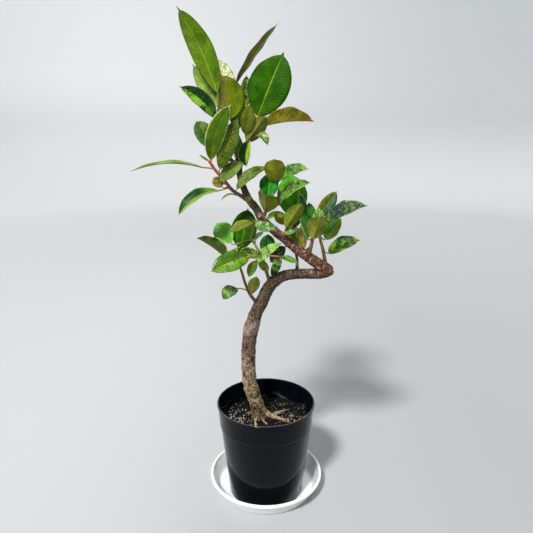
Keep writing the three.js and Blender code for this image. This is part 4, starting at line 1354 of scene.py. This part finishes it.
def make_pot(material):
    """A tapered wall with a collar and a lip, cut through by foot slots and drain holes."""
    lip_foot = POT_RIM_Z - POT_LIP_HEIGHT
    shell = turned(softened([
        (0, POT_FLOOR_Z - 2.5),
        (POT_FOOT_RADIUS - 8.5, POT_FLOOR_Z - 2.5),
        (POT_FOOT_RADIUS - 7, SAUCER_FLOOR),
        (POT_FOOT_RADIUS, SAUCER_FLOOR),
        (POT_COLLAR_RADIUS - POT_COLLAR_STEP, POT_COLLAR_Z),
        (POT_COLLAR_RADIUS, POT_COLLAR_Z + POT_COLLAR_STEP),
        (POT_NECK_RADIUS, lip_foot),
        (POT_RIM_RADIUS, lip_foot + 1.5),
        (POT_RIM_RADIUS, POT_RIM_Z - 1.5),
        (POT_RIM_RADIUS - 1.5, POT_RIM_Z),
        (POT_RIM_RADIUS - POT_LIP_WIDTH, POT_RIM_Z),
        *reversed(POT_INSIDE),
        (0, POT_FLOOR_Z),
    ], POT_BEVEL))
    cutters = linked("cutters", pot_cutters())
    mesh = modified(shell, "BOOLEAN", object=cutters, operation="DIFFERENCE", solver="EXACT")
    bpy.data.objects.remove(cutters)
    mesh.materials.append(material)
    mesh.set_sharp_from_angle(angle=math.radians(POT_SHARP_ANGLE))
    placed("pot_shell", mesh, "pot")


def pot_cutters():
    """The slots in the pot's foot and the drain holes in its floor."""
    shape = Shape()
    deep, wide, high = SLOT_SIZE
    for i in range(SLOT_COUNT):
        angle = math.radians(SLOT_AZIMUTH + i * 360 / SLOT_COUNT)
        outward = np.array([math.cos(angle), math.sin(angle)])
        aside = np.array([-math.sin(angle), math.cos(angle)]) * wide / 2
        corners = []
        for z in (SLOT_FOOT_Z, SLOT_FOOT_Z + high):
            for x, y in ((-1, -1), (1, -1), (1, 1), (-1, 1)):
                corners.append([*(outward * (POT_FOOT_RADIUS + x * deep / 2) + aside * y), z])
        shape.add(corners, ring_faces(2, 4))
    for middle in circle(HOLE_COUNT) * HOLE_RING:
        ring = middle + circle(HOLE_SIDES) * HOLE_RADIUS
        ends = [np.column_stack([ring, np.full(HOLE_SIDES, z)]) for z in HOLE_SPAN]
        shape.add(ends, ring_faces(2, HOLE_SIDES))
    return shape.mesh("cutters")


def soil_height(x, y):
    """The height of the soil's top with its lumps and crumbs."""
    radius, angle = math.hypot(x, y), math.atan2(y, x)
    lumps = math.sin(radius / 7 + 3 * angle) + math.sin(radius / 5 - 5 * angle + 1)
    crumbs = noise.fractal(Vector((x / 7, y / 7, 3.0)), 0.9, 2.1, 4)
    level = SOIL_Z - SOIL_EDGE_DROP * (radius / POT_COLLAR_RADIUS) ** 2
    return level + 0.9 * lumps * min(1, radius / 20) + 1.5 * crumbs


def soil_tone(x, y):
    """Dark brown peat at the front and left, black at the back right."""
    share = smooth_step(-60, 50, 0.6 * x + 0.8 * y)
    return mixed(linear("#100d0a"), linear("#080706"), share)


def make_soil(material):
    """The bed's side and underside inside the pot, its crumbly top and what lies on it."""
    walls = [(radius - 0.3, z) for radius, z in POT_INSIDE if z < SOIL_Z]
    walls.append((SOIL_RADIUS + 0.2, SOIL_Z - 4))
    points = [(radius * c, radius * s, z) for radius, z in walls for c, s in circle(SOIL_SIDES)]
    for ring in range(SOIL_RINGS):
        for x, y in circle(SOIL_SIDES) * (SOIL_RADIUS * (1 - ring / SOIL_RINGS)):
            points.append((x, y, soil_height(x, y)))
    shape = Shape()
    tones = [soil_tone(x, y) for x, y, _ in points]
    faces = ring_faces(len(walls) + SOIL_RINGS, SOIL_SIDES)
    shape.add(points, faces, tone=with_alpha(tones), place=points)
    add_granules(shape)
    shape.piece("soil_bed", [material], "soil")


@dataclass
class Grain:
    """One kind of loose granule: how many, how big, how flat, its tone and where it lies most."""

    count: int
    smallest: float
    largest: float
    flatness: float
    tone: str
    around: tuple = (0, 0)
    spread: float = 200


GRAINS = [
    Grain(210, 0.7, 2.8, 0.7, "#dcd8cc", (-72, 0), 28),
    Grain(210, 0.6, 2.4, 0.7, "#b0aca4", (30, 36), 40),
    Grain(40, 0.8, 2.0, 0.8, "#a8a498"),
    Grain(520, 1.5, 4.6, 0.5, "#15110d"),
    Grain(620, 1.5, 4.0, 0.6, "#100d0a"),
    Grain(110, 1.4, 4.0, 0.5, "#2f241a", (0, -30), 55),
    Grain(34, 2.0, 6.0, 0.4, "#bfae8c", (66, -8), 13),
    Grain(16, 1.6, 4.0, 0.5, "#9c8866", (78, 14), 16),
]


def lump():
    """The corners and faces of a small round solid."""
    golden = (1 + 5 ** 0.5) / 2
    corners = [(0, a, b * golden) for a in (-1, 1) for b in (-1, 1)]
    corners += [(a, b, 0) for _, a, b in corners] + [(b, 0, a) for _, a, b in corners]
    corners = np.array(corners) / math.hypot(1, golden)
    faces = []
    for i, j, k in itertools.combinations(range(12), 3):
        sides = [np.linalg.norm(corners[a] - corners[b]) for a, b in ((i, j), (j, k), (i, k))]
        if max(sides) < 1.1:
            out = np.dot(np.cross(corners[j] - corners[i], corners[k] - corners[i]), corners[i])
            faces.append((i, j, k) if out > 0 else (i, k, j))
    return corners, faces


def add_granules(shape):
    """Perlite, bark chips and grit, strewn over the soil clear of the trunk."""
    rng = random.Random("granules")
    corners, faces = lump()
    for grain in GRAINS:
        made = 0
        while made < grain.count:
            x, y = (rng.gauss(middle, grain.spread) for middle in grain.around)
            outside = math.hypot(x, y) > SOIL_RADIUS - GRANULES_OFF_EDGE
            if outside or math.dist((x, y), TRUNK_FOOT) < TRUNK_CLEARANCE:
                continue
            made += 1
            size = rng.uniform(grain.smallest, grain.largest) / 2
            turn = rng.uniform(0, 6.28)
            c, s = math.cos(turn), math.sin(turn)
            points = corners * [[1 + rng.uniform(-0.3, 0.3)] for _ in corners]
            points = points * [size * rng.uniform(1, 1.5), size, size * grain.flatness]
            points = points @ np.array([[c, s, 0], [-s, c, 0], [0, 0, 1]])
            points += [x, y, soil_height(x, y) + size * grain.flatness * rng.uniform(0, 0.7)]
            tone = linear(grain.tone) * rng.uniform(0.7, 1.2)
            shape.add(points, faces, tone=with_alpha(tone), place=points)


# Stage, light and camera


def make_floor(material):
    """A floor that curves up into a wall a long way off on every side."""
    outline = [(0, 0), (FLOOR_RADIUS / 2, 0), (FLOOR_RADIUS, 0)]
    for angle in np.linspace(0.15, 1.57, 10):
        outline.append((FLOOR_RADIUS + BEND_RADIUS * math.sin(angle), BEND_RADIUS * (1 - math.cos(angle))))
    points, faces = lathed([*outline, (FLOOR_RADIUS + BEND_RADIUS, WALL_TOP)], FLOOR_SIDES)
    mesh = mesh_of("floor", points, [face[::-1] for face in faces])
    mesh.materials.append(material)
    linked("floor", mesh)


def light_scene():
    """Soft sun from the front left, a dim one from behind, and lamps that make the glossy edges."""
    strip = {"shape": "RECTANGLE", "size": 0.3, "size_y": 1.7}
    sheen = {"shape": "RECTANGLE", "size": 1.6, "size_y": 1.0}
    for name, kind, place, power, settings in (
        ("key", "SUN", (-1.1, -2.2, 3.3), 3.52, {"angle": math.radians(8), "color": (1, 0.985, 0.96)}),
        ("fill", "SUN", (0.8, 2.6, 2.2), 0.6, {"angle": math.radians(40)}),
        ("left_strip", "AREA", (-2.2, 0.3, 0.9), 22, strip),
        ("right_strip", "AREA", (2.2, 0.2, 0.9), 15, strip),
        ("sheen", "AREA", (-0.9, 0.7, 3.2), 22, sheen),
    ):
        light = bpy.data.lights.new(name, kind)
        light.energy = power
        for key, value in settings.items():
            setattr(light, key, value)
        obj = linked(name, light)
        obj.location = place
        obj.rotation_euler = (LIT_PLACE - obj.location).to_track_quat("-Z", "Y").to_euler()
        obj.visible_diffuse = kind == "SUN"
    world = bpy.data.worlds.new("soft")
    world.use_nodes = True
    world.node_tree.nodes["Background"].inputs["Color"].default_value = (0.95, 0.98, 1, 1)
    world.node_tree.nodes["Background"].inputs["Strength"].default_value = 0.53
    bpy.context.scene.world = world


def place_camera():
    """The photo's own view, found from the ellipses of the pot and the saucer."""
    camera = bpy.data.cameras.new("camera")
    camera.sensor_width = CAMERA_SENSOR
    camera.lens = CAMERA_LENS
    obj = linked("camera", camera)
    obj.location = CAMERA_PLACE
    obj.rotation_euler = (math.radians(90 - CAMERA_TILT), 0, 0)
    bpy.context.scene.camera = obj


def main():
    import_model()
    make_saucer(white_plastic())
    make_pot(black_plastic())
    make_soil(earth_material())
    make_trunk(bark_material())
    make_shoots([leaf_material("leaf_upper", 0.5), leaf_material("leaf_under", 0.62), stem_material()])
    make_floor(floor_material())
    light_scene()
    place_camera()
    bpy.context.scene.view_settings.view_transform = "Standard"


main()
